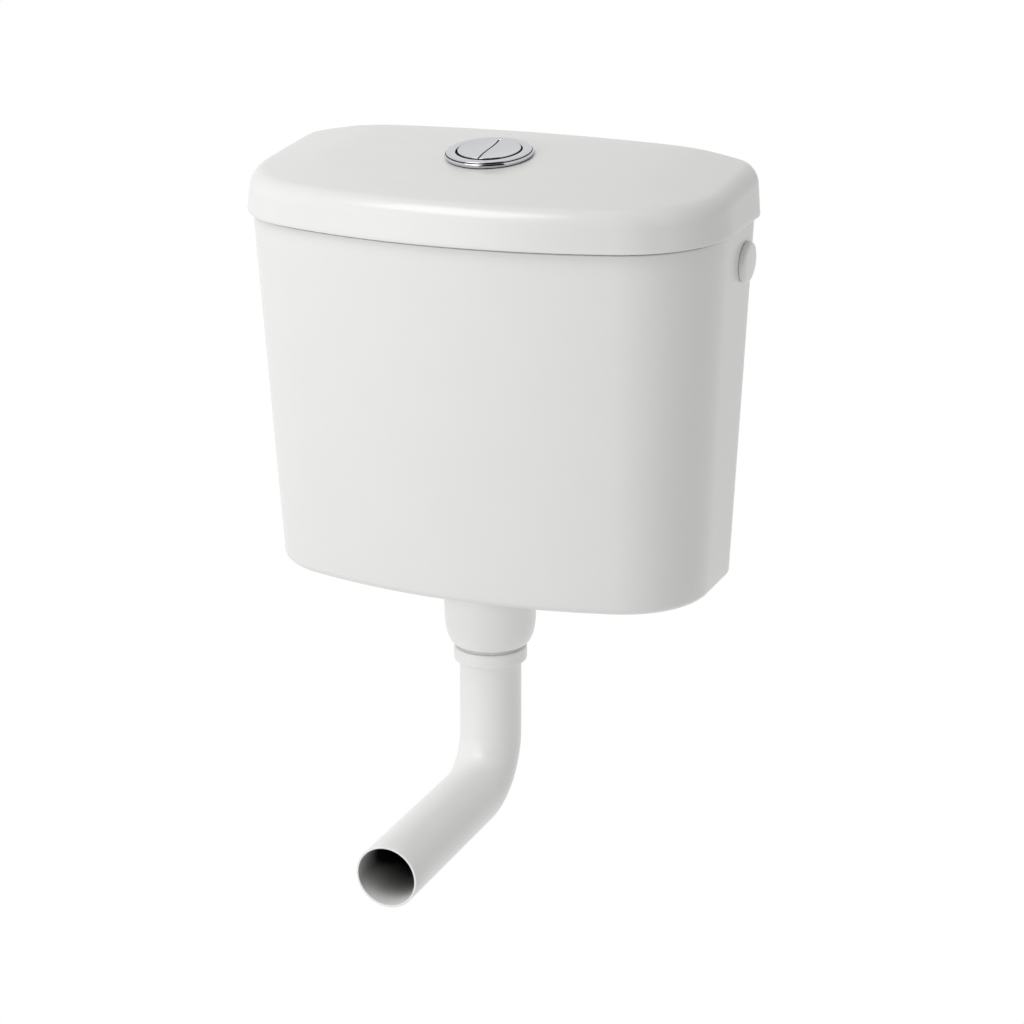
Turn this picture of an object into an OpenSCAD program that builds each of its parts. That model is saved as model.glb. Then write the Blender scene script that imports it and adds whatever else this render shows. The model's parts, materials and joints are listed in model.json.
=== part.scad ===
// Wall-hung toilet cistern with a dual flush button, its flush valve, fill valve and flush bend.
// Millimetres. Heights are counted from the underside of the tank and shifted at the end, so that
// the origin is midway between the two wall fixings, on the wall. The front faces -Y.

/* [Tank] */
// Height of the shoulder under the lid's skirt
shoulder_z = 286; // [260:1:320]
// Height of the rim above that shoulder
rim_rise = 14; // [10:1:18]
// Half the width at the shoulder
tank_half_top = 193; // [175:1:215]
// Half the width at the bottom
tank_half_bottom = 180; // [165:1:195]
// Depth from the wall at the shoulder
tank_depth_top = 180; // [168:1:200]
// Depth from the wall at the bottom
tank_depth_bottom = 156; // [150:1:170]
// Radius of the front corners at the shoulder
front_corner_top = 85; // [70:1:95]
// Radius of the front corners at the bottom
front_corner_bottom = 72; // [60:1:80]
// Radius of the back corners
back_corner = 18; // [12:1:20]
// Radius of the bowed front
front_bow = 450; // [400:10:900]
// Rounding of the bottom edge
bottom_round = 6; // [3:0.5:10]
// Thickness of the walls
tank_wall = 3; // [2.5:0.1:4]
// Thickness of the floor
tank_floor = 3.5; // [3:0.1:5]
// How far the rim stands in from the sides and front
rim_inset = 2; // [1:0.1:3]
// How far the rim stands in from the wall
rim_back_inset = 4.6; // [4.4:0.1:7]

/* [Wall fixings] */
// Distance of the two fixing holes below the shoulder
fixing_drop = 36; // [24:1:60]
// Distance between the fixing holes
fixing_spacing = 240; // [160:1:280]
// Radius of a fixing hole
fixing_hole_r = 4.5; // [3:0.1:6]
// Width of the boss around a fixing hole, beyond the hole
fixing_boss_wall = 5; // [3:0.5:8]
// Length of that boss inside the tank
fixing_boss_l = 4; // [2:0.5:6]

/* [Side inlets] */
// Distance of the side inlets below the shoulder
inlet_drop = 25; // [22:1:40]
// Distance of the side inlets from the wall
inlet_y = 33; // [33:1:45]
// Radius of the inlet holes
inlet_hole_r = 9; // [8.9:0.1:11]
// Radius of the free end of the inlet thread
inlet_thread_r = 8.33; // [7:0.01:8.5]
// Free length of the inlet thread
inlet_thread_l = 19.5; // [12:0.5:30]
// Radius of the blanking plug's disc
plug_r = 16.1; // [14.5:0.1:18]
// Thickness of the blanking plug's disc
plug_t = 3.6; // [3:0.1:5]
// Radius of the seals and flanges at the side inlets
inlet_flange_r = 14; // [12:0.1:15]
// Thickness of the rubber seals at the side inlets
inlet_seal_t = 2.5; // [1.5:0.1:4]
// Thickness of the nuts at the side inlets
inlet_nut_t = 8; // [6:0.5:10]

/* [Lid] */
// Height of the lid's top at the wall above the shoulder
lid_rise = 57; // [49:1:69]
// Height of the skirt's lower edge above the shoulder
skirt_gap = 1.3; // [0.8:0.1:3]
// Overhang of the skirt beyond the tank
lid_overhang = 5; // [4:0.1:8]
// Lean of the skirt towards the top
skirt_lean = 2.5; // [0:0.1:4]
// Fall of the top from back to front, for each millimetre of depth
lid_slope = 0.105; // [0.05:0.005:0.12]
// Fall of the top from the middle to the sides
lid_crown = 5.5; // [1:0.1:6]
// Rise of the middle of the top above those falls
lid_pillow = 2.6; // [0:0.1:4]
// Extra fall of the top near the edges
lid_dome = 7; // [2:0.1:8]
// Width of the band near the edges that falls
lid_dome_w = 86; // [70:1:88]
// Rounding of the top edge
lid_round = 12; // [8:0.5:13]
// Thickness of the lid
lid_wall = 3; // [2.5:0.1:4]
// Width of the ledge that rests on the rim
lid_ledge = 11; // [10:0.5:14]

/* [Buttons] */
// Radius of the chrome bezel
bezel_r = 34.2; // [33:0.1:38]
// Height of the bezel above the lid
bezel_h = 5; // [4:0.1:9]
// Radius of the bore that the buttons run in
button_bore_r = 27; // [25:0.1:28]
// Reach of the bezel's lip over the buttons' flange
button_lip = 1.6; // [1:0.1:2]
// Gap between that lip and the buttons' tops
button_rim_gap = 0.8; // [0.3:0.05:1.2]
// Wall of the bezel's sleeve
sleeve_wall = 1.6; // [1.2:0.1:3]
// Length of the sleeve below the lid's top
sleeve_l = 32; // [28:0.5:36]
// Thickness of the sleeve's floor
sleeve_floor = 3; // [2:0.1:4]
// Gap around the buttons' flange in the bore
button_gap = 0.4; // [0.3:0.05:1]
// Gap between the two buttons
button_split = 0.7; // [0.5:0.05:1.5]
// Travel of the buttons
button_travel = 8; // [5:0.5:9]
// Wall of the buttons
button_wall = 1.5; // [1.2:0.1:1.8]
// Radius of the buttons' stems
stem_r = 4.5; // [4:0.1:5]
// Sideways place of the stems and of the levers' ends
stem_x = 16; // [15:0.5:17]
// Front-to-back place of the stems and of the levers
stem_y = 9; // [7.5:0.5:10]
// Radius of the push rods
rod_r = 3.5; // [3:0.1:4]
// Wire radius of the return springs
spring_wire_r = 0.6; // [0.4:0.05:0.8]
// Radius of the return springs at the wire's centre
spring_r = 5.7; // [5.5:0.1:6]
// Curls of a return spring
spring_curls = 7; // [5:1:9]
// Height of the ring nut under the lid
bezel_nut_h = 8; // [6:0.5:10]
// Width of the ring nut beyond the sleeve
bezel_nut_wall = 7; // [5:0.5:8]

/* [Flush valve] */
// Distance of the valve's axis from the wall
valve_y = 78; // [75:1:84]
// Radius of the valve's threaded spigot
spigot_r = 29.8; // [28:0.1:31]
// Bore radius of the spigot
spigot_bore_r = 26; // [25.5:0.1:26.5]
// Reach of the spigot below the tank
spigot_drop = 46; // [40:1:47]
// Radius of the valve's flange
valve_flange_r = 44; // [42:0.5:48]
// Thickness of the valve's flange
valve_flange_t = 4; // [3:0.1:6]
// Thickness of the outlet washer
outlet_washer_t = 3; // [2:0.1:5]
// Height of the seat lip above the flange
seat_lip_h = 3.5; // [2:0.1:5]
// Width of the seat lip
seat_lip_w = 3; // [2:0.1:3.5]
// Thickness of the flush seal
flush_seal_t = 3; // [2:0.1:5]
// Outer radius of the flush tube
tube_r = 17; // [15:0.1:17]
// Wall of the flush tube
tube_wall = 2.5; // [1.5:0.1:3]
// Depth of the tube's open top, which is the overflow, below the shoulder
overflow_drop = 71; // [64:1:76]
// Depth of the underside of the tower's deck below the shoulder
deck_drop = 100; // [96:1:106]
// Thickness of the deck
deck_t = 4; // [3:0.1:5]
// Width of a tower column
column_w = 8; // [5:0.5:10]
// Height of the levers' pin below the shoulder
lever_pin_drop = 34; // [30:1:36]
// Radius of the levers' pin
lever_pin_r = 2.5; // [2:0.1:3]
// Radius of the levers' round ends
lever_nose_r = 3.5; // [3:0.1:4]
// Distance of the levers' posts from the axis
post_y = 22; // [21.5:0.1:23]
// Thickness of the levers' posts
post_t = 5; // [4:0.1:6]
// Height of the sleeve's ring and of the yoke's ring
lift_ring_h = 10; // [6:0.5:12]
// Distance of the lifting posts from the axis
lift_post_x = 23; // [22.5:0.5:25]

/* [Outlet] */
// Height of the nut below the tank
back_nut_h = 13; // [8:0.5:14]
// Radius of the coupling at its top
coupling_top_r = 36; // [34:0.1:38]
// Radius of the coupling near its foot
coupling_foot_r = 33.5; // [32:0.1:34]
// Depth of the coupling's foot below the tank
coupling_drop = 58.5; // [54:0.5:64]
// Rounding of the coupling's foot
coupling_round = 4.5; // [2:0.5:5]
// Outer radius of the flush pipe
pipe_r = 25; // [24:0.1:25]
// Wall of the flush pipe
pipe_wall = 2; // [1.5:0.1:2.5]
// Length of the pipe inside the valve's spigot
pipe_push = 24; // [18:1:28]
// Thickness of the pipe seal's band
pipe_seal_t = 2.5; // [2:0.1:6]
// Radius of the pipe seal's band
pipe_seal_r = 28.7; // [28:0.1:29.2]
// Radius of the pipe's collar
collar_r = 29.7; // [28:0.1:32]
// Height of the pipe's collar
collar_h = 12; // [6:0.5:14]
// Depth at which the bend starts
bend_drop = 135.5; // [110:0.5:200]
// Radius of the bend
bend_r = 43.2; // [40:0.1:80]
// Straight length in front of the bend
forward_l = 160; // [80:1:250]

/* [Fill valve] */
// Radius of the valve's barrel
barrel_r = 11; // [10:0.1:12]
// Length of the barrel inside the tank
barrel_l = 56; // [50:1:60]
// Radius of the plunger
plunger_r = 3.5; // [3:0.1:4]
// Distance from the plunger's axis down to the arm's pin
heel_arm = 12; // [11:0.5:14]
// Radius of the arm's pin
arm_pin_r = 2; // [1.5:0.1:2.5]
// Length of the float arm
float_arm_l = 53; // [45:1:58]
// Length of the float's rod below the arm
float_drop = 60; // [50:1:65]
// Radius of the float
float_r = 24; // [20:0.5:25]
// Swing of the float arm
float_swing = 30; // [20:1:32]
// Distance of the filling tube from the barrel's end
fill_tube_in = 22; // [20:1:26]
// Radius of the filling tube
fill_tube_r = 7; // [6:0.1:8]
// Height of the filling tube's open end above the tank's floor
fill_tube_gap = 10; // [6:1:30]

/* [Clearances] */
// Radial clearance of threads and pushed-in pieces
thread_gap = 0.1; // [0.05:0.01:0.2]
// Radial clearance of pins
pin_gap = 0.05; // [0.03:0.01:0.1]
// Radial clearance of sliding pieces
slide_gap = 0.3; // [0.25:0.05:0.5]
// Gap between pieces that meet when they move
touch_gap = 0.3; // [0.25:0.05:0.5]

/* [Hidden] */
$fn = 64;
SKIN = "white";
CHROME = "silver";
RUBBER = "dimgray";
INNER = "whitesmoke";
LEVER = "lightsteelblue";
STEEL = "gray";
cut = 1;
corner_steps = 10;
back_steps = 4;
bow_steps = 8;

// Lesser walls, steps and lengths
seat_sink = 0.2;
pillow_reach = 1.23;
boss_margin = 1;
boss_drop = 1.5;
button_sink = 0.4;
roof_rise = 0.5;
button_skirt = 5;
stem_reach = 5;
peg_step = 1;
peg_l = 12;
hub_wall = 3.5;
lever_step = 0.5;
tip_gap = 0.2;
lever_side = 5;
tube_foot_t = 3;
back_nut_wall = 8;
coupling_gap = 1.5;
coupling_lip_gap = 2;
coupling_lip_wall = 2.2;
pivot_reach = 15;
pin_wall = 3;
fill_flange_t = 3.5;
thread_wall = 3;
plunger_bore_l = 18;
plunger_in = 10;
socket_wall = 2.5;
socket_drop = 6;
arm_half_w = 4;
arm_half_t = 3;
arm_boss_r = 7;
arm_boss_h = 12;
adjuster_r = 3;
adjuster_in = 8;
adjuster_out = 12;
fill_tube_wall = 1.5;

// Places that several pieces share
rim_z = shoulder_z + rim_rise;
lid_top_z = shoulder_z + lid_rise;
fixing_z = shoulder_z - fixing_drop;
inlet_z = shoulder_z - inlet_drop;
overflow_z = shoulder_z - overflow_drop;
deck_z = shoulder_z - deck_drop;
wall_tilt = atan((tank_half_top - tank_half_bottom) / shoulder_z);
wall_n = tank_wall * cos(wall_tilt);
lid_half = tank_half_top + lid_overhang;
lid_depth = tank_depth_top + lid_overhang;
lid_corner = front_corner_top + lid_overhang;
skirt_z = shoulder_z + skirt_gap;
ledge_z = rim_z + touch_gap / 3;
seat_z = lid_z([0, -valve_y], 0) - seat_sink;
seat_slope = (lid_z([0, 1 - valve_y], 0) - lid_z([0, -1 - valve_y], 0)) / 2;
lid_tilt = atan(seat_slope);
sleeve_r = button_bore_r + sleeve_wall;
sleeve_z = seat_z - sleeve_l;
boss_r = sleeve_r + bezel_nut_wall + boss_margin;
boss_z = seat_z - seat_slope * boss_r - lid_wall - boss_drop;
bezel_lip_r = button_bore_r - button_lip;
lip_rise = bezel_h / 2;
button_r = button_bore_r - button_gap;
cap_r = bezel_lip_r - button_rim_gap;
button_roof_z = seat_z + roof_rise - seat_slope * button_r;
button_foot_z = button_roof_z - button_skirt;
stem_foot_z = sleeve_z - stem_reach;
peg_r = rod_r - peg_step;
washer_z = tank_floor;
flange_z = washer_z + outlet_washer_t;
tower_z = flange_z + valve_flange_t;
seat_lip_z = tower_z + seat_lip_h;
foot_z = seat_lip_z + flush_seal_t + pin_gap;
foot_r = spigot_bore_r + seat_lip_w;
deck_top_z = deck_z + deck_t;
column_r = valve_flange_r - column_w / 2 - 1;
lever_pin_z = shoulder_z - lever_pin_drop;
lever_w = 2 * (stem_y - lever_side);
nose_z = lever_pin_z + lever_nose_r;
finger_z = nose_z + touch_gap;
rod_tip_z = finger_z + tip_gap;
lift_ring_r = tube_r + slide_gap + hub_wall;
sleeve_ring_z = deck_top_z + touch_gap;
yoke_ring_z = sleeve_ring_z + lift_ring_h + touch_gap;
coupling_z = -back_nut_h - coupling_gap;
spring_foot_z = sleeve_z + sleeve_floor + spring_wire_r;
spring_top_z = button_roof_z - spring_wire_r;
collar_z = -coupling_drop - pipe_seal_t - touch_gap;
pipe_top_z = -spigot_drop + pipe_push;
barrel_end = -wall_n - inlet_seal_t - barrel_l;
pivot_x = barrel_end - pivot_reach;
fill_tube_x = barrel_end + fill_tube_in;

// Plan outlines and lofts

function arc(x, y, r, from, to, steps) =
    [for (i = [0:steps]) let (a = from + (to - from) * i / steps) [x + r * cos(a), y + r * sin(a)]];

// Plan of the tank or lid: straight back at y = -back, round corners, bowed front
function plan(half, depth, corner, rear, bow, back) =
    let (x = half - corner,
        y = -depth + bow - sqrt(pow(bow - corner, 2) - x * x),
        turn = asin(x / (bow - corner)))
    concat(
        arc(half - rear, -back - rear, rear, 0, 90, back_steps),
        arc(rear - half, -back - rear, rear, 90, 180, back_steps),
        arc(-x, y, corner, 180, 270 - turn, corner_steps),
        [for (i = [1:bow_steps - 1]) let (a = 270 - turn + 2 * turn * i / bow_steps)
            [bow * cos(a), bow - depth + bow * sin(a)]],
        arc(x, y, corner, 270 + turn, 360, corner_steps));

function blend(low, high, z) = low + (high - low) * z / shoulder_z;
function tank_half(z) = blend(tank_half_bottom, tank_half_top, z);

function tank_ring(z, inset, back) =
    [for (p = plan(tank_half(z) - inset,
            blend(tank_depth_bottom, tank_depth_top, z) - inset,
            blend(front_corner_bottom, front_corner_top, z) - inset,
            max(back_corner - inset, 2), front_bow - inset, back))
        [p.x, p.y, z]];

// Rise of the lid's middle, highest behind the buttons; 27 / 4 brings the curve's peak to 1
function pillow(p) =
    let (t = min(-pillow_reach * p.y / lid_depth, 1), side = min(abs(p.x) / lid_half, 1))
    lid_pillow * 27 / 4 * t * pow(1 - t, 2) * pow(1 - side * side, 2);

function lid_z(p, fall) =
    lid_top_z + lid_slope * p.y - lid_crown * pow(p.x / lid_half, 2) + pillow(p) - fall;
function dome_fall(inset) = lid_dome * pow(max(lid_dome_w - inset, 0) / lid_dome_w, 2);

function lid_plan(inset, back) =
    plan(lid_half - inset, lid_depth - inset, max(lid_corner - inset, 3),
        max(back_corner - inset / 3, 2), front_bow - inset, back);

function lid_top_ring(inset, back, fall) =
    [for (p = lid_plan(inset + skirt_lean, back)) [p.x, p.y, lid_z(p, fall)]];

function lid_flat_ring(inset, back, z) = [for (p = lid_plan(inset, back)) [p.x, p.y, z]];

// The middle of the lid's top, drawn in towards the button's axis
function lid_middle_ring(inset, back, share, drop) =
    [for (q = lid_plan(inset + skirt_lean, back))
        let (p = [q.x * share, -valve_y + (q.y + valve_y) * share])
        [p.x, p.y, lid_z(p, dome_fall(inset)) - drop]];

// Closed solid through rings of equal point counts
module loft(rings) {
    n = len(rings[0]);
    last = len(rings) - 1;
    polyhedron(
        points = [for (ring = rings) each ring],
        faces = concat(
            [[for (j = [n - 1:-1:0]) j]],
            [for (k = [0:last - 1]) for (j = [0:n - 1])
                [k * n + j, k * n + (j + 1) % n, (k + 1) * n + (j + 1) % n]],
            [for (k = [0:last - 1]) for (j = [0:n - 1])
                [k * n + j, (k + 1) * n + (j + 1) % n, (k + 1) * n + j]],
            [[for (j = [0:n - 1]) last * n + j]]));
}

// Shared shapes and frames

module tube(outer, inner, low, high) {
    translate([0, 0, low])
        difference() {
            cylinder(r = outer, h = high - low);
            translate([0, 0, -cut]) cylinder(r = inner, h = high - low + 2 * cut);
        }
}

module bar(x0, x1, y0, y1, z0, z1) {
    translate([x0, y0, z0]) cube([x1 - x0, y1 - y0, z1 - z0]);
}

// Cylinder along Y from y0 to y1
module rod_y(x, z, r, y0, y1) {
    translate([x, y0, z]) rotate([-90, 0, 0]) cylinder(r = r, h = y1 - y0);
}

// Cylinder along X from x0 to x1
module rod_x(r, x0, x1) {
    translate([x0, 0, 0]) rotate([0, 90, 0]) cylinder(r = r, h = x1 - x0);
}

module ring_x(outer, inner, x0, x1) {
    difference() {
        rod_x(outer, x0, x1);
        rod_x(inner, x0 - cut, x1 + cut);
    }
}

module hex_nut_x(flats, bore, x0, x1) {
    difference() {
        translate([x0, 0, 0]) rotate([0, 90, 0]) cylinder(r = flats / cos(30), h = x1 - x0, $fn = 6);
        rod_x(bore, x0 - cut, x1 + cut);
    }
}

// Height zero at the wall fixings
module placed() {
    translate([0, 0, -fixing_z]) children();
}

// Frame on the flush valve's axis
module on_valve() {
    placed() translate([0, -valve_y, 0]) children();
}

// Frame of a side inlet, with +X out of the wall, square to it
module at_inlet(left) {
    placed() mirror([left ? 1 : 0, 0, 0]) translate([tank_half(inlet_z), -inlet_y, inlet_z])
        rotate([0, wall_tilt, 0]) children();
}

// Frame of the lid's top at the buttons
module on_seat() {
    translate([0, 0, seat_z]) rotate([lid_tilt, 0, 0]) children();
}

// Everything above a height over that top
module above_seat(rise) {
    reach = 2 * bezel_r;
    on_seat() translate([-reach, -reach, rise]) cube(2 * reach);
}

// Tank

function bottom_inset(z) = bottom_round - sqrt(max(pow(bottom_round, 2) - pow(bottom_round - z, 2), 0));

module tank_shell() {
    inner = tank_wall;
    rim_in = rim_inset + tank_wall;
    rim_back = rim_back_inset + tank_wall;
    bottoms = [1, 0.5, 0.2, 0.05, 0];
    loft(concat(
        [for (s = [0, 0.3, 1])
            let (z = tank_floor + s * bottom_round, in = inner + bottom_inset(s * bottom_round))
            tank_ring(z, in, in)],
        [tank_ring(shoulder_z - 2 * tank_wall, inner, inner),
            tank_ring(shoulder_z, rim_in, rim_back),
            tank_ring(rim_z, rim_in, rim_back),
            tank_ring(rim_z, rim_inset, rim_back_inset),
            tank_ring(shoulder_z, rim_inset, rim_back_inset),
            tank_ring(shoulder_z, 0, 0)],
        [for (s = bottoms) let (in = bottom_inset(s * bottom_round)) tank_ring(s * bottom_round, in, in)]));
}

module tank_body() {
    color(SKIN) difference() {
        union() {
            placed() tank_shell();
            for (side = [-1, 1])
                rod_y(side * fixing_spacing / 2, 0, fixing_hole_r + fixing_boss_wall,
                    -tank_wall - fixing_boss_l, -tank_wall / 2);
        }
        for (side = [-1, 1])
            rod_y(side * fixing_spacing / 2, 0, fixing_hole_r, -tank_wall - fixing_boss_l - cut, cut);
        for (left = [false, true])
            at_inlet(left) rod_x(inlet_hole_r, -3 * tank_wall, 3 * tank_wall);
        on_valve() translate([0, 0, -cut]) cylinder(r = spigot_r + 4 * thread_gap, h = tank_floor + 2 * cut);
    }
}

// Lid and buttons

module lid_shell() {
    edge = [0, 25, 50, 70, 90];
    band = [for (i = [1:5]) lid_round + (lid_dome_w - lid_round) * i / 5];
    shares = [0.7, 0.4, 0.1];
    wall = lid_wall;
    ceiling = [for (i = [0:3]) lid_ledge + wall + (lid_dome_w - lid_ledge - wall) * i / 3];
    back_ledge = lid_ledge + wall;
    loft(concat(
        [for (i = [2:-1:0]) lid_middle_ring(lid_dome_w, wall, shares[i == 2 ? 2 : i], 0)],
        [for (i = [4:-1:0]) lid_top_ring(band[i], wall * (i + 1) / 5, dome_fall(band[i]))],
        [for (i = [4:-1:0]) let (a = edge[i], in = lid_round * (1 - cos(a)))
            lid_top_ring(in, 0, lid_round * (1 - sin(a)) + dome_fall(in))],
        [lid_flat_ring(0.4, 0, skirt_z + 1.2),
            lid_flat_ring(1, 0, skirt_z),
            lid_flat_ring(wall, wall, skirt_z),
            lid_flat_ring(wall + skirt_lean / 2, wall, ledge_z),
            lid_flat_ring(wall + lid_ledge, back_ledge, ledge_z)],
        [for (in = ceiling) [for (p = lid_plan(in + skirt_lean, back_ledge))
            [p.x, p.y, lid_z(p, dome_fall(in)) - wall]]],
        [for (i = [0:2]) [for (p = lid_middle_ring(lid_dome_w, back_ledge, shares[i], wall)) p]]));
}

// Boss under the lid with a level foot for the ring nut
module lid_boss() {
    difference() {
        translate([0, 0, boss_z]) cylinder(r = boss_r, h = 4 * lid_wall + 2 * seat_slope * boss_r);
        above_seat(-lid_wall / 2);
    }
}

module lid() {
    color(SKIN) difference() {
        union() {
            placed() lid_shell();
            on_valve() lid_boss();
        }
        on_valve() translate([0, 0, sleeve_z]) cylinder(r = sleeve_r + 4 * thread_gap, h = 3 * sleeve_l);
    }
}

// Ring that lies on the lid: a nearly flat top, and a round bead below its edge
module bezel_ring() {
    bead = bezel_h * 0.42;
    on_seat() rotate_extrude()
        polygon(concat([[0, pin_gap]], arc(bezel_r - bead, bead + pin_gap, bead, -90, 80, 8),
            [[bezel_r - bead, bezel_h - bead / 4], [sleeve_r, bezel_h], [0, bezel_h]]));
}

// Sleeve with a lip at its top, which keeps the buttons in
module button_bezel() {
    color(CHROME) on_valve() difference() {
        union() {
            bezel_ring();
            difference() {
                translate([0, 0, sleeve_z]) cylinder(r = sleeve_r, h = 2 * sleeve_l);
                above_seat(lip_rise);
            }
        }
        difference() {
            translate([0, 0, sleeve_z + sleeve_floor]) cylinder(r = button_bore_r, h = 2 * sleeve_l);
            above_seat(lip_rise);
        }
        translate([0, 0, sleeve_z + sleeve_floor]) cylinder(r = bezel_lip_r, h = 2 * sleeve_l);
        for (side = [-1, 1])
            translate([side * stem_x, -side * stem_y, sleeve_z - cut])
                cylinder(r = stem_r + slide_gap, h = sleeve_floor + 2 * cut);
    }
}

module bezel_nut() {
    grips = 8;
    grip_half = 4;
    grip_rise = 2;
    color(INNER) on_valve() difference() {
        union() {
            translate([0, 0, boss_z - bezel_nut_h])
                cylinder(r = sleeve_r + bezel_nut_wall - grip_rise, h = bezel_nut_h);
            for (i = [0:grips - 1])
                rotate([0, 0, i * 360 / grips])
                    bar(sleeve_r + cut, sleeve_r + bezel_nut_wall, -grip_half, grip_half,
                        boss_z - bezel_nut_h, boss_z);
        }
        translate([0, 0, boss_z - bezel_nut_h - cut])
            cylinder(r = sleeve_r + thread_gap, h = bezel_nut_h + 2 * cut);
    }
}

// Round button before it is split, with a flange that stays under the bezel's lip
module whole_button() {
    tall = 2 * button_bore_r;
    translate([0, 0, button_foot_z]) cylinder(r = cap_r, h = tall);
    difference() {
        translate([0, 0, button_foot_z]) cylinder(r = button_r, h = tall);
        above_seat(lip_rise - touch_gap);
    }
}

// Half of a round button: side is 1 for the right half and -1 for the left
module button(side) {
    reach = 2 * button_bore_r;
    half = button_split / 2;
    difference() {
        union() {
            intersection() {
                whole_button();
                translate([side > 0 ? half : -half - reach, -reach, 0])
                    cube([reach, 2 * reach, 2 * lid_top_z]);
            }
            translate([side * stem_x, -side * stem_y, stem_foot_z])
                cylinder(r = stem_r, h = button_roof_z + cut - stem_foot_z);
        }
        difference() {
            intersection() {
                translate([0, 0, button_foot_z - cut])
                    cylinder(r = button_r - button_wall, h = button_roof_z - button_foot_z + cut);
                translate([side > 0 ? half + button_wall : -half - button_wall - reach, -reach, 0])
                    cube([reach, 2 * reach, 2 * lid_top_z]);
            }
            translate([side * stem_x, -side * stem_y, stem_foot_z]) cylinder(r = stem_r, h = reach);
        }
        above_seat(bezel_h - button_sink);
        translate([side * stem_x, -side * stem_y, stem_foot_z - cut])
            cylinder(r = peg_r + pin_gap, h = peg_l + 2 * cut);
    }
}

module half_flush_button() {
    color(CHROME) on_valve() button(-1);
}

module full_flush_button() {
    color(CHROME) on_valve() button(1);
}

// Return springs, each one unbroken wire
wire_sides = 6;
curl_rings = 8;
spring_rings = spring_curls * curl_rings;

function spring_point(i) =
    let (a = 360 * i / curl_rings)
    [spring_r * cos(a), spring_r * sin(a),
        spring_foot_z + (spring_top_z - spring_foot_z) * i / spring_rings];

function spring_ring(i) =
    let (p = spring_point(i), a = 360 * i / curl_rings)
    [for (k = [0:wire_sides - 1]) let (b = -360 * k / wire_sides, r = spring_wire_r * cos(b))
        [p.x + r * cos(a), p.y + r * sin(a), p.z + spring_wire_r * sin(b)]];

spring_gap = min([for (i = [0:spring_rings - curl_rings]) for (k = [curl_rings - 2:curl_rings + 2])
    if (i + k <= spring_rings) norm(spring_point(i + k) - spring_point(i))]) - 2 * spring_wire_r;
pressed_room = spring_top_z - spring_foot_z - button_travel - 2 * spring_wire_r * spring_curls;
echo(least_gap_between_spring_curls = spring_gap, room_left_when_pressed = pressed_room);

module spring(side) {
    translate([side * stem_x, -side * stem_y, 0]) loft([for (i = [0:spring_rings]) spring_ring(i)]);
}

module half_button_spring() {
    color(STEEL) on_valve() spring(-1);
}

module full_button_spring() {
    color(STEEL) on_valve() spring(1);
}

module push_rod(side) {
    translate([side * stem_x, -side * stem_y, 0]) {
        translate([0, 0, rod_tip_z + rod_r]) sphere(r = rod_r);
        translate([0, 0, rod_tip_z + rod_r]) cylinder(r = rod_r, h = stem_foot_z - rod_tip_z - rod_r);
        translate([0, 0, stem_foot_z - cut]) cylinder(r = peg_r, h = peg_l + cut);
    }
}

module half_push_rod() {
    color(INNER) on_valve() push_rod(-1);
}

module full_push_rod() {
    color(INNER) on_valve() push_rod(1);
}

// Flush valve

// Rocking lever: side is 1 for the full flush and -1 for the half flush
module lever(side) {
    near = side > 0 ? -stem_y - lever_w / 2 : stem_y - lever_w / 2;
    hub = lever_pin_r + hub_wall;
    difference() {
        union() {
            rod_y(0, lever_pin_z, hub, side > 0 ? -post_y + touch_gap : touch_gap,
                side > 0 ? -touch_gap : post_y - touch_gap);
            for (end = [-1, 1])
                rod_y(end * stem_x, lever_pin_z, lever_nose_r, near, near + lever_w);
            bar(-stem_x, stem_x, near, near + lever_w, lever_pin_z - lever_nose_r + lever_step,
                lever_pin_z + lever_nose_r - lever_step);
        }
        rod_y(0, lever_pin_z, lever_pin_r + pin_gap, -2 * post_y, 2 * post_y);
    }
}

module half_lever() {
    color(LEVER) on_valve() lever(-1);
}

module full_lever() {
    color(LEVER) on_valve() lever(1);
}

module lever_pin() {
    color(STEEL) on_valve() rod_y(0, lever_pin_z, lever_pin_r, -post_y - post_t, post_y + post_t);
}

module valve_tower() {
    post_half = lever_pin_r + hub_wall;
    ring_gap = 3;
    color(INNER) on_valve() difference() {
        union() {
            tube(valve_flange_r - 1, foot_r + slide_gap + ring_gap, tower_z, tower_z + deck_t);
            for (i = [0:3])
                rotate([0, 0, 45 + 90 * i])
                    bar(column_r - column_w / 2, column_r + column_w / 2 - 1, -column_w / 2, column_w / 2,
                        tower_z + deck_t / 2, deck_z + deck_t / 2);
            tube(valve_flange_r, tube_r + slide_gap, deck_z, deck_top_z);
            for (side = [-1, 1])
                bar(-post_half, post_half, side > 0 ? post_y : -post_y - post_t,
                    side > 0 ? post_y + post_t : -post_y, deck_z + deck_t / 2, lever_pin_z + post_half);
        }
        rod_y(0, lever_pin_z, lever_pin_r + pin_gap, -2 * post_y, 2 * post_y);
    }
}

module valve_base() {
    color(INNER) on_valve() {
        difference() {
            union() {
                translate([0, 0, -spigot_drop]) cylinder(r = spigot_r, h = spigot_drop + flange_z + cut);
                translate([0, 0, flange_z]) cylinder(r = valve_flange_r, h = valve_flange_t);
                translate([0, 0, tower_z - cut]) cylinder(r = foot_r, h = seat_lip_h + cut);
            }
            translate([0, 0, -spigot_drop - cut])
                cylinder(r = spigot_bore_r, h = spigot_drop + seat_lip_z + 2 * cut);
        }
    }
}

module outlet_washer() {
    color(RUBBER) on_valve() tube(valve_flange_r - 2, spigot_r + thread_gap, washer_z, flange_z);
}

module valve_back_nut() {
    flats = spigot_r + back_nut_wall;
    color(INNER) on_valve() difference() {
        translate([0, 0, -back_nut_h]) cylinder(r = flats / cos(30), h = back_nut_h, $fn = 6);
        translate([0, 0, -back_nut_h - cut]) cylinder(r = spigot_r + thread_gap, h = back_nut_h + 2 * cut);
    }
}

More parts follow.
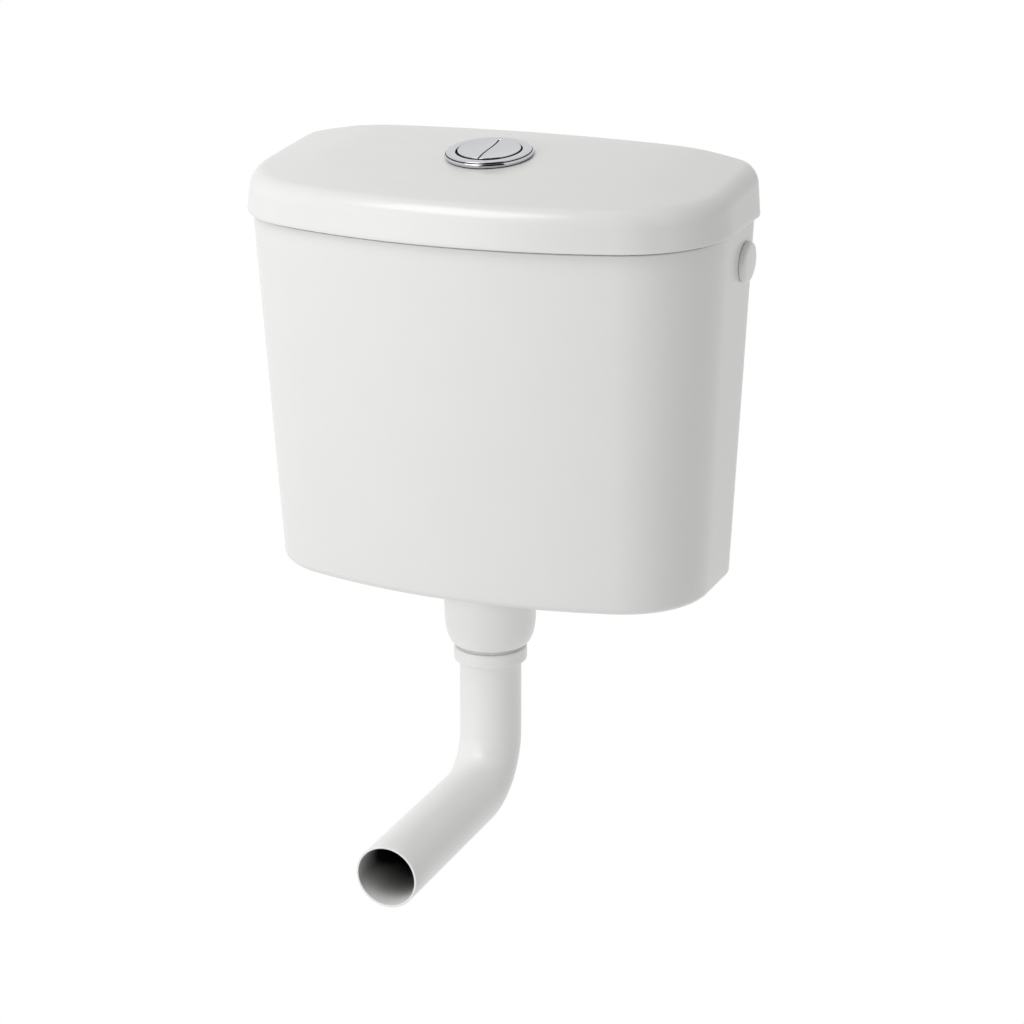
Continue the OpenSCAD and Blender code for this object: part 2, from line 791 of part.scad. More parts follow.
module flush_tube() {
    color(INNER) on_valve() difference() {
        union() {
            translate([0, 0, foot_z]) cylinder(r = foot_r, h = tube_foot_t);
            translate([0, 0, foot_z]) cylinder(r = tube_r, h = overflow_z - foot_z);
        }
        translate([0, 0, foot_z - cut]) cylinder(r = tube_r - tube_wall, h = overflow_z - foot_z + 2 * cut);
    }
}

module flush_seal() {
    color(RUBBER) on_valve() tube(foot_r, tube_r - tube_wall, foot_z - flush_seal_t, foot_z);
}

// Ring with a post and a finger over a lever's end: side is the side of the post
module lifter(side, bore, low, high) {
    near = -stem_y - lever_w / 2;
    post = 6;
    finger_t = 4;
    finger_over = 2;
    finger_in = stem_x - lever_nose_r - finger_over;
    rotate([0, 0, side > 0 ? 180 : 0]) {
        difference() {
            union() {
                translate([0, 0, low]) cylinder(r = lift_ring_r, h = high - low);
                bar(-lift_post_x - 1, -tube_r / 2, near, near + lever_w, low, low + (high - low) / 2);
            }
            translate([0, 0, low - cut]) cylinder(r = bore, h = high - low + 2 * cut);
        }
        bar(-lift_post_x - post, -lift_post_x, near, near + lever_w, low, finger_z + finger_t);
        bar(-lift_post_x - post / 2, -finger_in, near, near + lever_w, finger_z, finger_z + finger_t);
    }
}

module tube_lift_yoke() {
    color(LEVER) on_valve() lifter(-1, tube_r + thread_gap, yoke_ring_z, yoke_ring_z + lift_ring_h);
}

// Shelf and stub that carry the half-flush float
shelf_x = 12;
shelf_w = 10;
shelf_t = 3;
float_block_y = -post_y - post_t - 2.5;
float_block_d = 17;
stub_r = 3;
stub_h = 10;

module half_flush_sleeve() {
    color(INNER) on_valve() {
        lifter(1, tube_r + slide_gap, sleeve_ring_z, sleeve_ring_z + lift_ring_h);
        difference() {
            bar(shelf_x - shelf_w / 2, shelf_x + shelf_w / 2, float_block_y - float_block_d, 0,
                sleeve_ring_z, sleeve_ring_z + shelf_t);
            translate([0, 0, sleeve_ring_z - cut]) cylinder(r = tube_r + slide_gap + 1, h = 3 * shelf_t);
        }
        translate([shelf_x, float_block_y - float_block_d / 2, sleeve_ring_z + shelf_t - cut])
            cylinder(r = stub_r, h = stub_h + cut);
    }
}

module half_flush_float() {
    width = 40;
    height = 30;
    low = sleeve_ring_z + shelf_t;
    color(INNER) on_valve() difference() {
        bar(shelf_x - width / 2, shelf_x + width / 2, float_block_y - float_block_d, float_block_y,
            low, low + height);
        translate([shelf_x, float_block_y - float_block_d / 2, low - cut])
            cylinder(r = stub_r + pin_gap, h = stub_h + cut + touch_gap);
    }
}

// Outlet

module outlet_coupling() {
    lip_z = -spigot_drop - coupling_lip_gap;
    lip_r = pipe_r + pin_gap + coupling_lip_wall;
    color(SKIN) on_valve() rotate_extrude()
        polygon(concat(
            [[spigot_r + thread_gap, coupling_z], [spigot_r + thread_gap, lip_z], [lip_r, lip_z],
                [lip_r, -coupling_drop]],
            [for (p = arc(coupling_foot_r - coupling_round, -coupling_drop + coupling_round, coupling_round,
                -90, 0, 8)) p],
            [[coupling_top_r, coupling_z - 1], [coupling_top_r - 1, coupling_z]]));
}

module pipe_seal() {
    lip_z = -spigot_drop - coupling_lip_gap - touch_gap;
    lip_r = pipe_r + pin_gap + coupling_lip_wall - thread_gap;
    color(RUBBER) on_valve() rotate_extrude()
        polygon([[pipe_r + pin_gap, lip_z], [lip_r, lip_z], [lip_r, -coupling_drop],
            [pipe_seal_r, -coupling_drop], [pipe_seal_r, -coupling_drop - pipe_seal_t],
            [pipe_r + pin_gap, -coupling_drop - pipe_seal_t]]);
}

module flush_bend() {
    bore = pipe_r - pipe_wall;
    round = 2;
    color(SKIN) on_valve() {
        tube(pipe_r, bore, -bend_drop, pipe_top_z);
        rotate_extrude()
            polygon(concat([[pipe_r - pipe_wall / 2, collar_z - collar_h]],
                arc(collar_r - round, collar_z - collar_h + round, round, -90, 0, 4),
                arc(collar_r - round, collar_z - round, round, 0, 90, 4),
                [[pipe_r - pipe_wall / 2, collar_z]]));
        translate([0, -bend_r, -bend_drop]) rotate([-90, 0, 90])
            rotate_extrude(angle = 90) translate([bend_r, 0]) difference() {
                circle(r = pipe_r);
                circle(r = bore);
            }
        translate([0, -bend_r, -bend_drop - bend_r]) rotate([90, 0, 0]) tube(pipe_r, bore, 0, forward_l);
    }
}

// Fill valve on the left wall

ear_in = 6.5;
ear_t = 3;
ear_l = 6;
seal_end = -wall_n - inlet_seal_t;
shank_r = inlet_thread_r + 0.27;

module fill_valve_body() {
    ear_half = arm_pin_r + pin_wall;
    color(INNER) at_inlet(true) difference() {
        union() {
            rod_x(inlet_thread_r, 0, inlet_nut_t + thread_gap + inlet_thread_l);
            rod_x(shank_r, seal_end - cut, inlet_nut_t + thread_gap);
            rod_x(inlet_flange_r, seal_end - fill_flange_t, seal_end);
            rod_x(barrel_r, barrel_end, seal_end - 1);
            for (side = [-1, 1]) {
                bar(pivot_x, barrel_end + ear_l, side > 0 ? ear_in : -ear_in - ear_t,
                    side > 0 ? ear_in + ear_t : -ear_in, -heel_arm - ear_half, -heel_arm + ear_half);
                rod_y(pivot_x, -heel_arm, ear_half, side > 0 ? ear_in : -ear_in - ear_t,
                    side > 0 ? ear_in + ear_t : -ear_in);
            }
            translate([fill_tube_x, 0, -barrel_r - socket_drop])
                cylinder(r = fill_tube_r + socket_wall, h = barrel_r);
        }
        rod_y(pivot_x, -heel_arm, arm_pin_r + pin_gap, -2 * ear_in - ear_t, 2 * ear_in + ear_t);
        rod_x(plunger_r + slide_gap, barrel_end - cut, barrel_end + plunger_bore_l);
        rod_x(inlet_thread_r - thread_wall, seal_end - plunger_in, inlet_nut_t + inlet_thread_l + 2 * cut);
        translate([fill_tube_x, 0, -barrel_r - socket_drop - cut])
            cylinder(r = fill_tube_r + thread_gap, h = 2 * socket_drop + cut);
    }
}

module inlet_seal() {
    color(RUBBER) at_inlet(true) ring_x(inlet_flange_r, shank_r + thread_gap, seal_end, -wall_n);
}

module inlet_back_nut() {
    color(INNER) at_inlet(true) hex_nut_x(inlet_flange_r - 1, shank_r + thread_gap, 0, inlet_nut_t);
}

// Frame of the float arm at its pin, drawn level and then let down
module arm_frame() {
    at_inlet(true) translate([pivot_x, 0, -heel_arm]) rotate([0, -float_swing, 0]) children();
}

heel_r = 3;
heel_face = pivot_x - heel_arm * sin(float_swing) + heel_r + touch_gap;

module valve_plunger() {
    color(LEVER) at_inlet(true) rod_x(plunger_r, heel_face, barrel_end + plunger_in);
}

module float_arm() {
    hub = arm_pin_r + pin_wall;
    color(LEVER) arm_frame() difference() {
        union() {
            rod_y(0, 0, hub, -ear_in + touch_gap, ear_in - touch_gap);
            rod_y(0, heel_arm, heel_r, -hub, hub);
            bar(-heel_r, -heel_r / 6, -hub, hub, 0, heel_arm);
            bar(-float_arm_l, 0, -arm_half_w, arm_half_w, -arm_half_t, arm_half_t);
            translate([-float_arm_l, 0, -arm_boss_h / 2]) cylinder(r = arm_boss_r, h = arm_boss_h);
        }
        rod_y(0, 0, arm_pin_r + pin_gap, -2 * ear_in, 2 * ear_in);
        translate([-float_arm_l, 0, -arm_boss_h / 2 - cut])
            cylinder(r = adjuster_r + pin_gap, h = arm_boss_h + 2 * cut);
    }
}

module arm_pin() {
    color(STEEL) at_inlet(true) rod_y(pivot_x, -heel_arm, arm_pin_r, -ear_in - ear_t, ear_in + ear_t);
}

module float_adjuster() {
    knob_r = 5;
    knob_h = 4;
    color(INNER) arm_frame() translate([-float_arm_l, 0, 0]) {
        translate([0, 0, -float_drop + float_r - adjuster_in])
            cylinder(r = adjuster_r, h = float_drop - float_r + adjuster_in + adjuster_out);
        translate([0, 0, arm_boss_h / 2 + thread_gap]) cylinder(r = knob_r, h = knob_h);
    }
}

module fill_float() {
    neck_r = 6;
    neck_h = 6;
    seam_rise = 0.6;
    seam_h = 2;
    color(INNER) arm_frame() translate([-float_arm_l, 0, -float_drop]) difference() {
        union() {
            sphere(r = float_r);
            translate([0, 0, float_r - neck_h / 2]) cylinder(r = neck_r, h = neck_h);
            translate([0, 0, -seam_h / 2]) cylinder(r = float_r + seam_rise, h = seam_h);
        }
        translate([0, 0, float_r - adjuster_in - touch_gap])
            cylinder(r = adjuster_r + pin_gap, h = 2 * adjuster_in + neck_h);
    }
}

module fill_tube() {
    low = (tank_floor + fill_tube_gap - inlet_z) / cos(wall_tilt);
    color(INNER) at_inlet(true) translate([fill_tube_x, 0, 0])
        tube(fill_tube_r, fill_tube_r - fill_tube_wall, low, -barrel_r);
}

// Blanking plug on the right wall

module blanking_plug() {
    round = plug_t * 0.6;
    bulge = 0.4;
    shank_out = 6;
    shank_end = seal_end - inlet_nut_t - shank_out;
    color(SKIN) at_inlet(false) rotate([0, 90, 0]) union() {
        rotate_extrude()
            polygon(concat([[0, 0], [plug_r, 0]], arc(plug_r - round, plug_t - round, round, 0, 80, 6),
                [[0, plug_t + bulge]]));
        translate([0, 0, shank_end]) cylinder(r = shank_r, h = -shank_end + cut);
    }
}

module plug_seal() {
    color(RUBBER) at_inlet(false) ring_x(inlet_flange_r, shank_r + thread_gap, seal_end, -wall_n);
}

module plug_nut() {
    color(INNER) at_inlet(false)
        hex_nut_x(inlet_flange_r - 1, shank_r + thread_gap, seal_end - inlet_nut_t, seal_end);
}

tank_body();
lid();
button_bezel();
bezel_nut();
half_flush_button();
full_flush_button();
half_button_spring();
full_button_spring();
half_push_rod();
full_push_rod();
half_lever();
full_lever();
lever_pin();
valve_tower();
valve_base();
outlet_washer();
valve_back_nut();
flush_tube();
flush_seal();
tube_lift_yoke();
half_flush_sleeve();
half_flush_float();
outlet_coupling();
pipe_seal();
flush_bend();
fill_valve_body();
inlet_seal();
inlet_back_nut();
valve_plunger();
float_arm();
arm_pin();
float_adjuster();
fill_float();
fill_tube();
blanking_plug();
plug_seal();
plug_nut();
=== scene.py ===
"""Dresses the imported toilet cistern: detailed pieces, their finishes, and a small photo studio."""

import json
import math

import bmesh
import bpy
from mathutils import Matrix, Vector

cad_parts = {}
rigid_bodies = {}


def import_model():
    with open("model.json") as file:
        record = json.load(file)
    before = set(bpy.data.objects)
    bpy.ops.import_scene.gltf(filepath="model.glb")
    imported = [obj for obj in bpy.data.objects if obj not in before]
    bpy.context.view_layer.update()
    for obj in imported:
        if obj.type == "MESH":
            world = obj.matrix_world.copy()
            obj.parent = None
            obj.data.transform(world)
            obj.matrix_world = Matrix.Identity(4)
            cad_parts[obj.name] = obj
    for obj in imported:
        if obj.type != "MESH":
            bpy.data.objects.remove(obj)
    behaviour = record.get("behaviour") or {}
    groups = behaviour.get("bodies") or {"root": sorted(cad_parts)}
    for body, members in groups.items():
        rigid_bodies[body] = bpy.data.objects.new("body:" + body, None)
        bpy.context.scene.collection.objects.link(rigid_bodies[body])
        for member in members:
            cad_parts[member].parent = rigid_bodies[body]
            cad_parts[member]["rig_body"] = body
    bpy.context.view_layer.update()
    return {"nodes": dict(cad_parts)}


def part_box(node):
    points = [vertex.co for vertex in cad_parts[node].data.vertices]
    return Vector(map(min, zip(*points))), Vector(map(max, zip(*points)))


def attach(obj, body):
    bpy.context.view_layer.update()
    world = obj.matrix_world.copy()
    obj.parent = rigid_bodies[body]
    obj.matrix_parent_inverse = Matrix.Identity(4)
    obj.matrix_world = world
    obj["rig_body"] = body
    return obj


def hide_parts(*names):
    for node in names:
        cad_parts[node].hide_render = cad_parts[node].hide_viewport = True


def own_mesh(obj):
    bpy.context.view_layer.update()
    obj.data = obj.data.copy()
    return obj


bl_info = {
    "name": "Wall-hung toilet cistern",
    "version": (1, 0, 0),
    "blender": (4, 5, 0),
    "location": "3D View > Sidebar > Cistern",
    "description": "Builds the visible pieces of a wall-hung cistern over its CAD frame",
    "category": "Object",
}

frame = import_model()
MM = 0.001
AXIS_X = Vector((1, 0, 0))
WHITE = (1, 1, 1, 1)
# Distance within which points are welded, and the usual angle in degrees over which an edge looks sharp
WELD, SHARP = 1e-6, 32
# Steps round a plan: each back corner, the back, each side, each front corner, the front
REAR_STEPS, BACK_STEPS, SIDE_STEPS, CORNER_STEPS, FRONT_STEPS = 10, 24, 12, 32, 44
# The two buttons: their side of the middle, and their name
HALVES = ((-1, "half"), (1, "full"))


def linear(code):
    """An sRGB hex colour as linear RGB."""
    parts = [int(code[i:i + 2], 16) / 255 for i in (0, 2, 4)]
    return [c / 12.92 if c <= 0.04045 else ((c + 0.055) / 1.055) ** 2.4 for c in parts]


def mm(name, description, value):
    """A size that a user may change, given here in millimetres."""
    return bpy.props.FloatProperty(name=name, description=description, default=value * MM,
                                   unit="LENGTH", precision=5)


def ratio(name, description, value, low, high):
    """A slope that a user may change, as rise over run."""
    return bpy.props.FloatProperty(name=name, description=description, default=value, min=low, max=high)


def colour(name, description, code):
    """A finish colour that a user may change, given here as an sRGB hex value."""
    return bpy.props.FloatVectorProperty(name=name, description=description, size=3, min=0, max=1,
                                         default=linear(code), subtype="COLOR")


class CisternTank(bpy.types.PropertyGroup):
    """Sizes of the tank. Heights count from its underside."""
    foot: mm("Foot height", "Height of the underside, from the wall fixings", -250)
    shoulder: mm("Shoulder", "Height of the shoulder under the lid", 286)
    rim: mm("Rim", "Height of the rim", 300)
    half_top: mm("Half width above", "Half the width at the shoulder", 193)
    half_low: mm("Half width below", "Half the width at the underside", 180)
    depth_top: mm("Depth above", "Depth from the wall at the shoulder", 180)
    depth_low: mm("Depth below", "Depth from the wall at the underside", 156)
    corner_top: mm("Front corner above", "Radius of the front corners at the shoulder", 85)
    corner_low: mm("Front corner below", "Radius of the front corners at the underside", 72)
    rear: mm("Back corner", "Radius of the back corners", 18)
    bow: mm("Front bow", "Radius of the bowed front", 450)
    round: mm("Bottom round", "Rounding of the bottom edge", 6)
    wall: mm("Wall", "Thickness of the walls", 3)
    floor: mm("Floor", "Thickness of the floor", 3.5)
    rim_in: mm("Rim inset", "How far the rim stands in from the sides and front", 2)
    rim_back: mm("Rim inset at the wall", "How far the rim stands in from the wall", 4.6)
    fixing_x: mm("Fixing", "Distance of a wall fixing from the middle", 120)
    fixing_r: mm("Fixing hole", "Radius of a wall fixing's hole", 4.5)
    valve_y: mm("Valve axis", "Place of the flush valve's axis in front of the wall", -78)
    valve_hole: mm("Valve hole", "Radius of the hole in the floor", 30.2)


class CisternLid(bpy.types.PropertyGroup):
    """Sizes of the lid. Heights count from the tank's underside."""
    top: mm("Top", "Height of the lid's top at the wall", 343)
    skirt: mm("Skirt", "Height of the skirt's lower edge at the front", 287.3)
    rise: mm("Skirt rise", "Rise of that edge, and of the shoulder below it, at the wall", 6.5)
    half: mm("Half width", "Half the width of the skirt", 198)
    depth: mm("Depth", "Depth of the skirt from the wall", 185)
    corner: mm("Front corner", "Radius of the front corners", 90)
    lean: mm("Lean", "Lean of the skirt towards the top", 2.5)
    crown: mm("Crown", "Fall of the top from the middle to the sides", 5.5)
    pillow: mm("Pillow", "Rise of the middle of the top above its falls", 2.6)
    dome: mm("Dome", "Extra fall of the top near its edges", 7)
    dome_w: mm("Dome width", "Width of the band that falls", 86)
    panel: mm("Raised panel", "Distance of the raised panel's foot from the edge", 34)
    panel_w: mm("Panel shoulder", "Width of the panel's soft shoulder", 31)
    round: mm("Edge round", "Rounding of the top edge", 12)
    wall: mm("Wall", "Thickness of the lid", 3)
    ledge: mm("Ledge", "Width of the ledge that rests on the rim", 11)
    hole: mm("Button hole", "Radius of the hole for the button sleeve", 29)
    boss: mm("Boss", "Radius of the boss under the button hole", 36.6)
    boss_foot: mm("Boss foot", "Height of the boss's foot", 327.23)
    slope: ratio("Slope", "Fall of the top towards the front, for each metre", 0.105, 0.0, 0.3)


class CisternButtons(bpy.types.PropertyGroup):
    """Sizes of the bezel, the two buttons and their springs. Heights count from the wall fixings."""
    seat: mm("Seat", "Height of the lid's top on the button axis", 86.72)
    tilt: ratio("Tilt", "Slope of the lid's top at the buttons, for each metre", 0.1362, 0.0, 0.3)
    bezel_r: mm("Bezel", "Outer radius of the bezel", 34.2)
    bezel_h: mm("Bezel height", "Height of the bezel above the lid", 5)
    lip_r: mm("Lip", "Radius of the opening in the bezel", 25.75)
    lip_foot: mm("Lip foot", "Height of the lip's underside above the lid", 2.5)
    bore: mm("Bore", "Radius of the bore that the buttons run in", 27)
    sleeve_r: mm("Sleeve", "Outer radius of the sleeve", 28.6)
    sleeve_foot: mm("Sleeve foot", "Height of the sleeve's underside", 54.72)
    sleeve_floor: mm("Sleeve floor", "Thickness of the sleeve's floor", 3)
    cap_r: mm("Button", "Radius of the round button in the opening", 24.3)
    flange_r: mm("Button flange", "Radius of the button's flange below the lip", 26.6)
    button_top: mm("Button top", "Height of the button's top on its axis", 92.1)
    button_roof: mm("Button roof", "Height of the hollow under the button's top", 83.6)
    button_foot: mm("Button foot", "Height of the button's lower edge", 78.6)
    button_wall: mm("Button wall", "Wall of the button's skirt", 1.5)
    split: mm("Split", "Gap between the two buttons", 1.25)
    wave: mm("Split wave", "Sideways swing of the split", 0.7)
    skew: ratio("Split skew", "Slant of the split, for each metre", -0.06, -0.2, 0.2)
    dish: mm("Dish", "Depth of the hollow that the finger finds", 0.5)
    stem_x: mm("Stem place", "Sideways place of a stem", 16)
    stem_y: mm("Stem place, front to back", "Front-to-back place of a stem", 9)
    stem_r: mm("Stem", "Radius of a stem", 4.5)
    stem_foot: mm("Stem foot", "Height of a stem's lower end", 49.72)
    travel: mm("Travel", "How far a button goes down", 8)
    wire: mm("Spring wire", "Radius of the spring wire", 0.6)
    coil: mm("Spring coil", "Radius of the spring at the wire's middle", 5.7)


class CisternOutlet(bpy.types.PropertyGroup):
    """Sizes of the coupling, the pipe seal and the flush bend. Heights count from the tank's underside."""
    coupling_top: mm("Coupling top", "Height of the coupling's upper edge", -13.25)
    coupling_foot: mm("Coupling foot", "Height of the coupling's lower edge", -58.5)
    coupling_wide: mm("Coupling width", "Radius of the coupling at its top", 37.8)
    coupling_slim: mm("Coupling width below", "Radius of the coupling above its bowl", 36.9)
    coupling_bowl: mm("Coupling bowl", "Height of the bowl at the coupling's foot", 24.5)
    coupling_edge: mm("Coupling edge", "Radius of the coupling's lower edge", 28.6)
    coupling_bore: mm("Coupling bore", "Radius of the coupling's thread", 29.9)
    lip: mm("Lip", "Height of the lip inside the coupling", -48)
    lip_r: mm("Lip bore", "Radius of the bore in that lip", 27.25)
    seal_r: mm("Seal", "Radius of the rubber band", 28.7)
    seal_foot: mm("Seal foot", "Height of the band's lower face", -61)
    collar_r: mm("Collar", "Radius of the pipe's collar", 29.7)
    collar_top: mm("Collar top", "Height of the collar's upper face", -61.3)
    collar_h: mm("Collar height", "Height of the collar", 12)
    pipe_r: mm("Pipe", "Outer radius of the pipe", 25)
    pipe_wall: mm("Pipe wall", "Wall of the pipe", 2)
    pipe_top: mm("Pipe top", "Height of the pipe's upper end", -22)
    bend: mm("Bend start", "Height at which the bend starts", -135.5)
    bend_r: mm("Bend radius", "Radius of the bend", 43.2)
    forward: mm("Forward run", "Straight length in front of the bend", 160)


class CisternInlets(bpy.types.PropertyGroup):
    """Sizes at the two side inlets."""
    height: mm("Inlet height", "Height of the inlets above the tank's underside", 261)
    back: mm("Inlet place", "Place of the inlets in front of the wall", -33)
    hole: mm("Inlet hole", "Radius of an inlet hole", 9)
    plug_r: mm("Plug", "Radius of the plug's disc", 16.1)
    plug_t: mm("Plug thickness", "Thickness of the plug's disc", 4.8)
    shank_r: mm("Shank", "Radius of the shank in the wall", 8.6)
    thread_r: mm("Thread", "Outer radius of the inlet's thread", 8.33)
    thread_deep: mm("Thread depth", "Depth of the inlet's thread", 0.85)
    pitch: mm("Thread pitch", "Rise of the inlet's thread in one turn", 1.34)
    thread_foot: mm("Thread foot", "Distance of the thread's foot from the tank's wall", 8.1)
    thread_end: mm("Thread end", "Distance of the thread's end from the tank's wall", 27.6)


class CisternFinish(bpy.types.PropertyGroup):
    """Colours of the finishes."""
    skin: colour("Tank plastic", "White of the tank and lid", "E8E8E6")
    pipe: colour("Pipe plastic", "White of the coupling and the flush bend", "F1F1EF")
    chrome: colour("Chrome", "Tint of the chrome plate", "C1C2C5")
    # The charcoal is the sleeve's own colour, and also painted shade in the gaps round the buttons, in the
    # bezel's groove and under its bead
    unplated_and_painted_shade: colour("Unplated plastic", "Charcoal of the sleeve under the buttons", "1E1E20")
    # The bore's dark colour is painted shade inside the pipe, not the plastic's own colour
    bore: colour("Pipe bore", "Dark of the pipe's bore past the mouth", "1C1C1E")
    rubber: colour("Rubber", "Grey of the seals", "D0D1CD")
    inner: colour("Valve plastic", "White of the valves inside", "E2E2DC")
    lever: colour("Lever plastic", "Pale blue of the moving valve pieces", "B9CBDD")
    steel: colour("Spring steel", "Tint of springs and pins", "A9ACB0")


SETTINGS = {"cistern_tank": CisternTank, "cistern_lid": CisternLid,
            "cistern_buttons": CisternButtons, "cistern_outlet": CisternOutlet,
            "cistern_inlets": CisternInlets, "cistern_finish": CisternFinish}


# Shapes

def arc(x, y, r, start, end, steps):
    """Points on an arc, both ends included, with the angles in degrees."""
    turns = [math.radians(start + (end - start) * i / steps) for i in range(steps + 1)]
    return [(x + r * math.cos(a), y + r * math.sin(a)) for a in turns]


def between(a, b, steps):
    """Points between a and b, without the two ends."""
    return [tuple(p + (q - p) * i / steps for p, q in zip(a, b)) for i in range(1, steps)]


def quarter(steps, start=0):
    """Shares 1 - cos and sin along a quarter turn, from the start step to its end."""
    turns = [math.radians(90 * i / steps) for i in range(start, steps + 1)]
    return [(1 - math.cos(a), math.sin(a)) for a in turns]


def plan(half, depth, corner, rear, bow, back):
    """Plan of the tank or the lid: a straight back, round corners and a bowed front."""
    x = half - corner
    y = -depth + bow - math.sqrt((bow - corner) ** 2 - x * x)
    turn = math.degrees(math.asin(x / (bow - corner)))
    right_back = arc(half - rear, -back - rear, rear, 0, 90, REAR_STEPS)
    left_back = arc(rear - half, -back - rear, rear, 90, 180, REAR_STEPS)
    left_front = arc(-x, y, corner, 180, 270 - turn, CORNER_STEPS)
    front = arc(0, bow - depth, bow, 270 - turn, 270 + turn, FRONT_STEPS)[1:-1]
    right_front = arc(x, y, corner, 270 + turn, 360, CORNER_STEPS)
    return (right_back + between(right_back[-1], left_back[0], BACK_STEPS) + left_back
            + between(left_back[-1], left_front[0], SIDE_STEPS) + left_front + front + right_front
            + between(right_front[-1], right_back[0], SIDE_STEPS))


def start_loop(bm, points):
    """A closed loop of vertices through the points."""
    loop = bmesh.ops.create_circle(bm, segments=len(points), radius=1.0)["verts"]
    for vert, point in zip(loop, points):
        vert.co = point
    return loop


def grow(bm, loop, points, slot=0):
    """Extrudes the loop and puts the new one at the points; the new faces get the material slot."""
    edges = [bm.edges.get(pair) for pair in zip(loop, loop[1:] + loop[:1])]
    made = bmesh.ops.extrude_edge_only(bm, edges=edges)["geom"]
    fresh = {g for g in made if isinstance(g, bmesh.types.BMVert)}
    for face in made:
        if isinstance(face, bmesh.types.BMFace):
            face.material_index = slot
    new = [next(e.other_vert(v) for e in v.link_edges if e.other_vert(v) in fresh) for v in loop]
    for vert, point in zip(new, points):
        vert.co = point
    return new


def skin_through(bm, rings, closed=True, second=()):
    """Draws one loop through all the rings, and back into the first one if closed.

    The bands that lead to the ring numbers in second get the second material slot.
    """
    first = loop = start_loop(bm, rings[0])
    for i, ring in enumerate(rings[1:] + ([rings[0]] if closed else []), 1):
        loop = grow(bm, loop, ring, 1 if i in second else 0)
    return first, loop


def circle(place, r, steps=96):
    """Points on a circle about the place's Z axis."""
    turns = [math.tau * i / steps for i in range(steps)]
    return [place @ Vector((r * math.cos(a), r * math.sin(a), 0)) for a in turns]


def turned(bm, profile, place, steps=96, closed=True):
    """Spins a profile of (radius, height) points about the place's Z axis."""
    verts = [bm.verts.new(place @ Vector((r, 0, z))) for r, z in profile]
    edges = [bm.edges.new(pair) for pair in zip(verts, verts[1:])]
    if closed:
        edges.append(bm.edges.new((verts[-1], verts[0])))
    bmesh.ops.spin(bm, geom=verts + edges, cent=place.translation, axis=place.col[2].xyz.normalized(),
                   angle=math.tau, steps=steps, use_merge=True)


def peg(bm, place, r, depth, steps):
    """Adds a closed cylinder to drill with."""
    bmesh.ops.create_cone(bm, cap_ends=True, segments=steps, radius1=r, radius2=r, depth=depth,
                          matrix=place)


def scaled(pairs):
    """Millimetre pairs in metres."""
    return [(a * MM, b * MM) for a, b in pairs]


def valve_axis(context):
    """Place on the flush valve's axis, level with the tank's underside."""
    tank = context.scene.cistern_tank
    return Matrix.Translation((0, tank.valve_y, tank.foot))


def stem_place(context, side, height):
    """Place on the axis of a button's stem, at a height."""
    tank, size = context.scene.cistern_tank, context.scene.cistern_buttons
    return Matrix.Translation((side * size.stem_x, tank.valve_y - side * size.stem_y, height))


def half_width(tank, z):
    """Half the tank's width at a height above its underside."""
    return tank.half_low + (tank.half_top - tank.half_low) * z / tank.shoulder


def inlet_place(context, left):
    """Place of a side inlet, with its Z axis square out of the wall."""
    tank, inlets = context.scene.cistern_tank, context.scene.cistern_inlets
    tilt = math.atan((tank.half_top - tank.half_low) / tank.shoulder)
    at = (half_width(tank, inlets.height), inlets.back, tank.foot + inlets.height)
    side = Matrix.Translation(at) @ Matrix.Rotation(tilt + math.pi / 2, 4, "Y")
    return Matrix.Scale(-1, 4, AXIS_X) @ side if left else side


def mesh_of(bm, name, sharp):
    """The finished mesh: welded, facing outwards, smooth but for edges over the sharp angle."""
    bmesh.ops.remove_doubles(bm, verts=bm.verts, dist=WELD)
    bmesh.ops.recalc_face_normals(bm, faces=bm.faces)
    for face in bm.faces:
        face.smooth = True
    mesh = bpy.data.meshes.new(name)
    bm.to_mesh(mesh)
    bm.free()
    mesh.set_sharp_from_angle(angle=math.radians(sharp))
    return mesh


def add_piece(context, bm, name, body, slot, nodes, finishes=None, sharp=SHARP):
    """Makes the piece, lets it ride on its body and stand for its CAD nodes.

    It has its slot's own finish unless other finishes are named.
    """
    piece = bpy.data.objects.new(name, mesh_of(bm, name, sharp))
    context.collection.objects.link(piece)
    for kind in finishes or [slot]:
        piece.data.materials.append(finish(context, kind))
    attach(piece, body)
    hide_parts(*nodes)
    return piece


def drill(piece, cutters, sharp=SHARP):
    """Cuts the closed shapes in the bmesh out of the piece."""
    tool = bpy.data.objects.new("drill", mesh_of(cutters, "drill", sharp))
    bpy.context.collection.objects.link(tool)
    cut = piece.modifiers.new("Holes", "BOOLEAN")
    cut.operation, cut.solver, cut.object = "DIFFERENCE", "EXACT", tool
    shaped = piece.evaluated_get(bpy.context.evaluated_depsgraph_get())
    mesh = bpy.data.meshes.new_from_object(shaped)
    piece.modifiers.remove(cut)
    bpy.data.objects.remove(tool)
    piece.data = mesh
    mesh.polygons.foreach_set("use_smooth", [True] * len(mesh.polygons))
    mesh.set_sharp_from_angle(angle=math.radians(sharp))


# Finishes

def add_node(tree, kind, settings=None, inputs=None):
    """Adds a node, sets its settings, and fills each named input with a value or a link."""
    node = tree.nodes.new(kind)
    for name, value in (settings or {}).items():
        setattr(node, name, value)
    for name, value in (inputs or {}).items():
        socket = node.inputs[name]
        if isinstance(value, bpy.types.NodeSocket):
            tree.links.new(value, socket)
        else:
            socket.default_value = value
    return node


def new_finish(name):
    """An empty node material with its output, and its Object coordinates."""
    material = bpy.data.materials.new(name)
    material.use_nodes = True
    tree = material.node_tree
    tree.nodes.clear()
    spot = add_node(tree, "ShaderNodeTexCoord").outputs["Object"]
    return material, tree, spot


def close_finish(tree, shader):
    """Ends the finish in the shader."""
    add_node(tree, "ShaderNodeOutputMaterial", inputs={"Surface": shader.outputs[0]})


def close_principled(tree, inputs):
    """Ends the finish in a Principled shader."""
    close_finish(tree, add_node(tree, "ShaderNodeBsdfPrincipled", inputs=inputs))


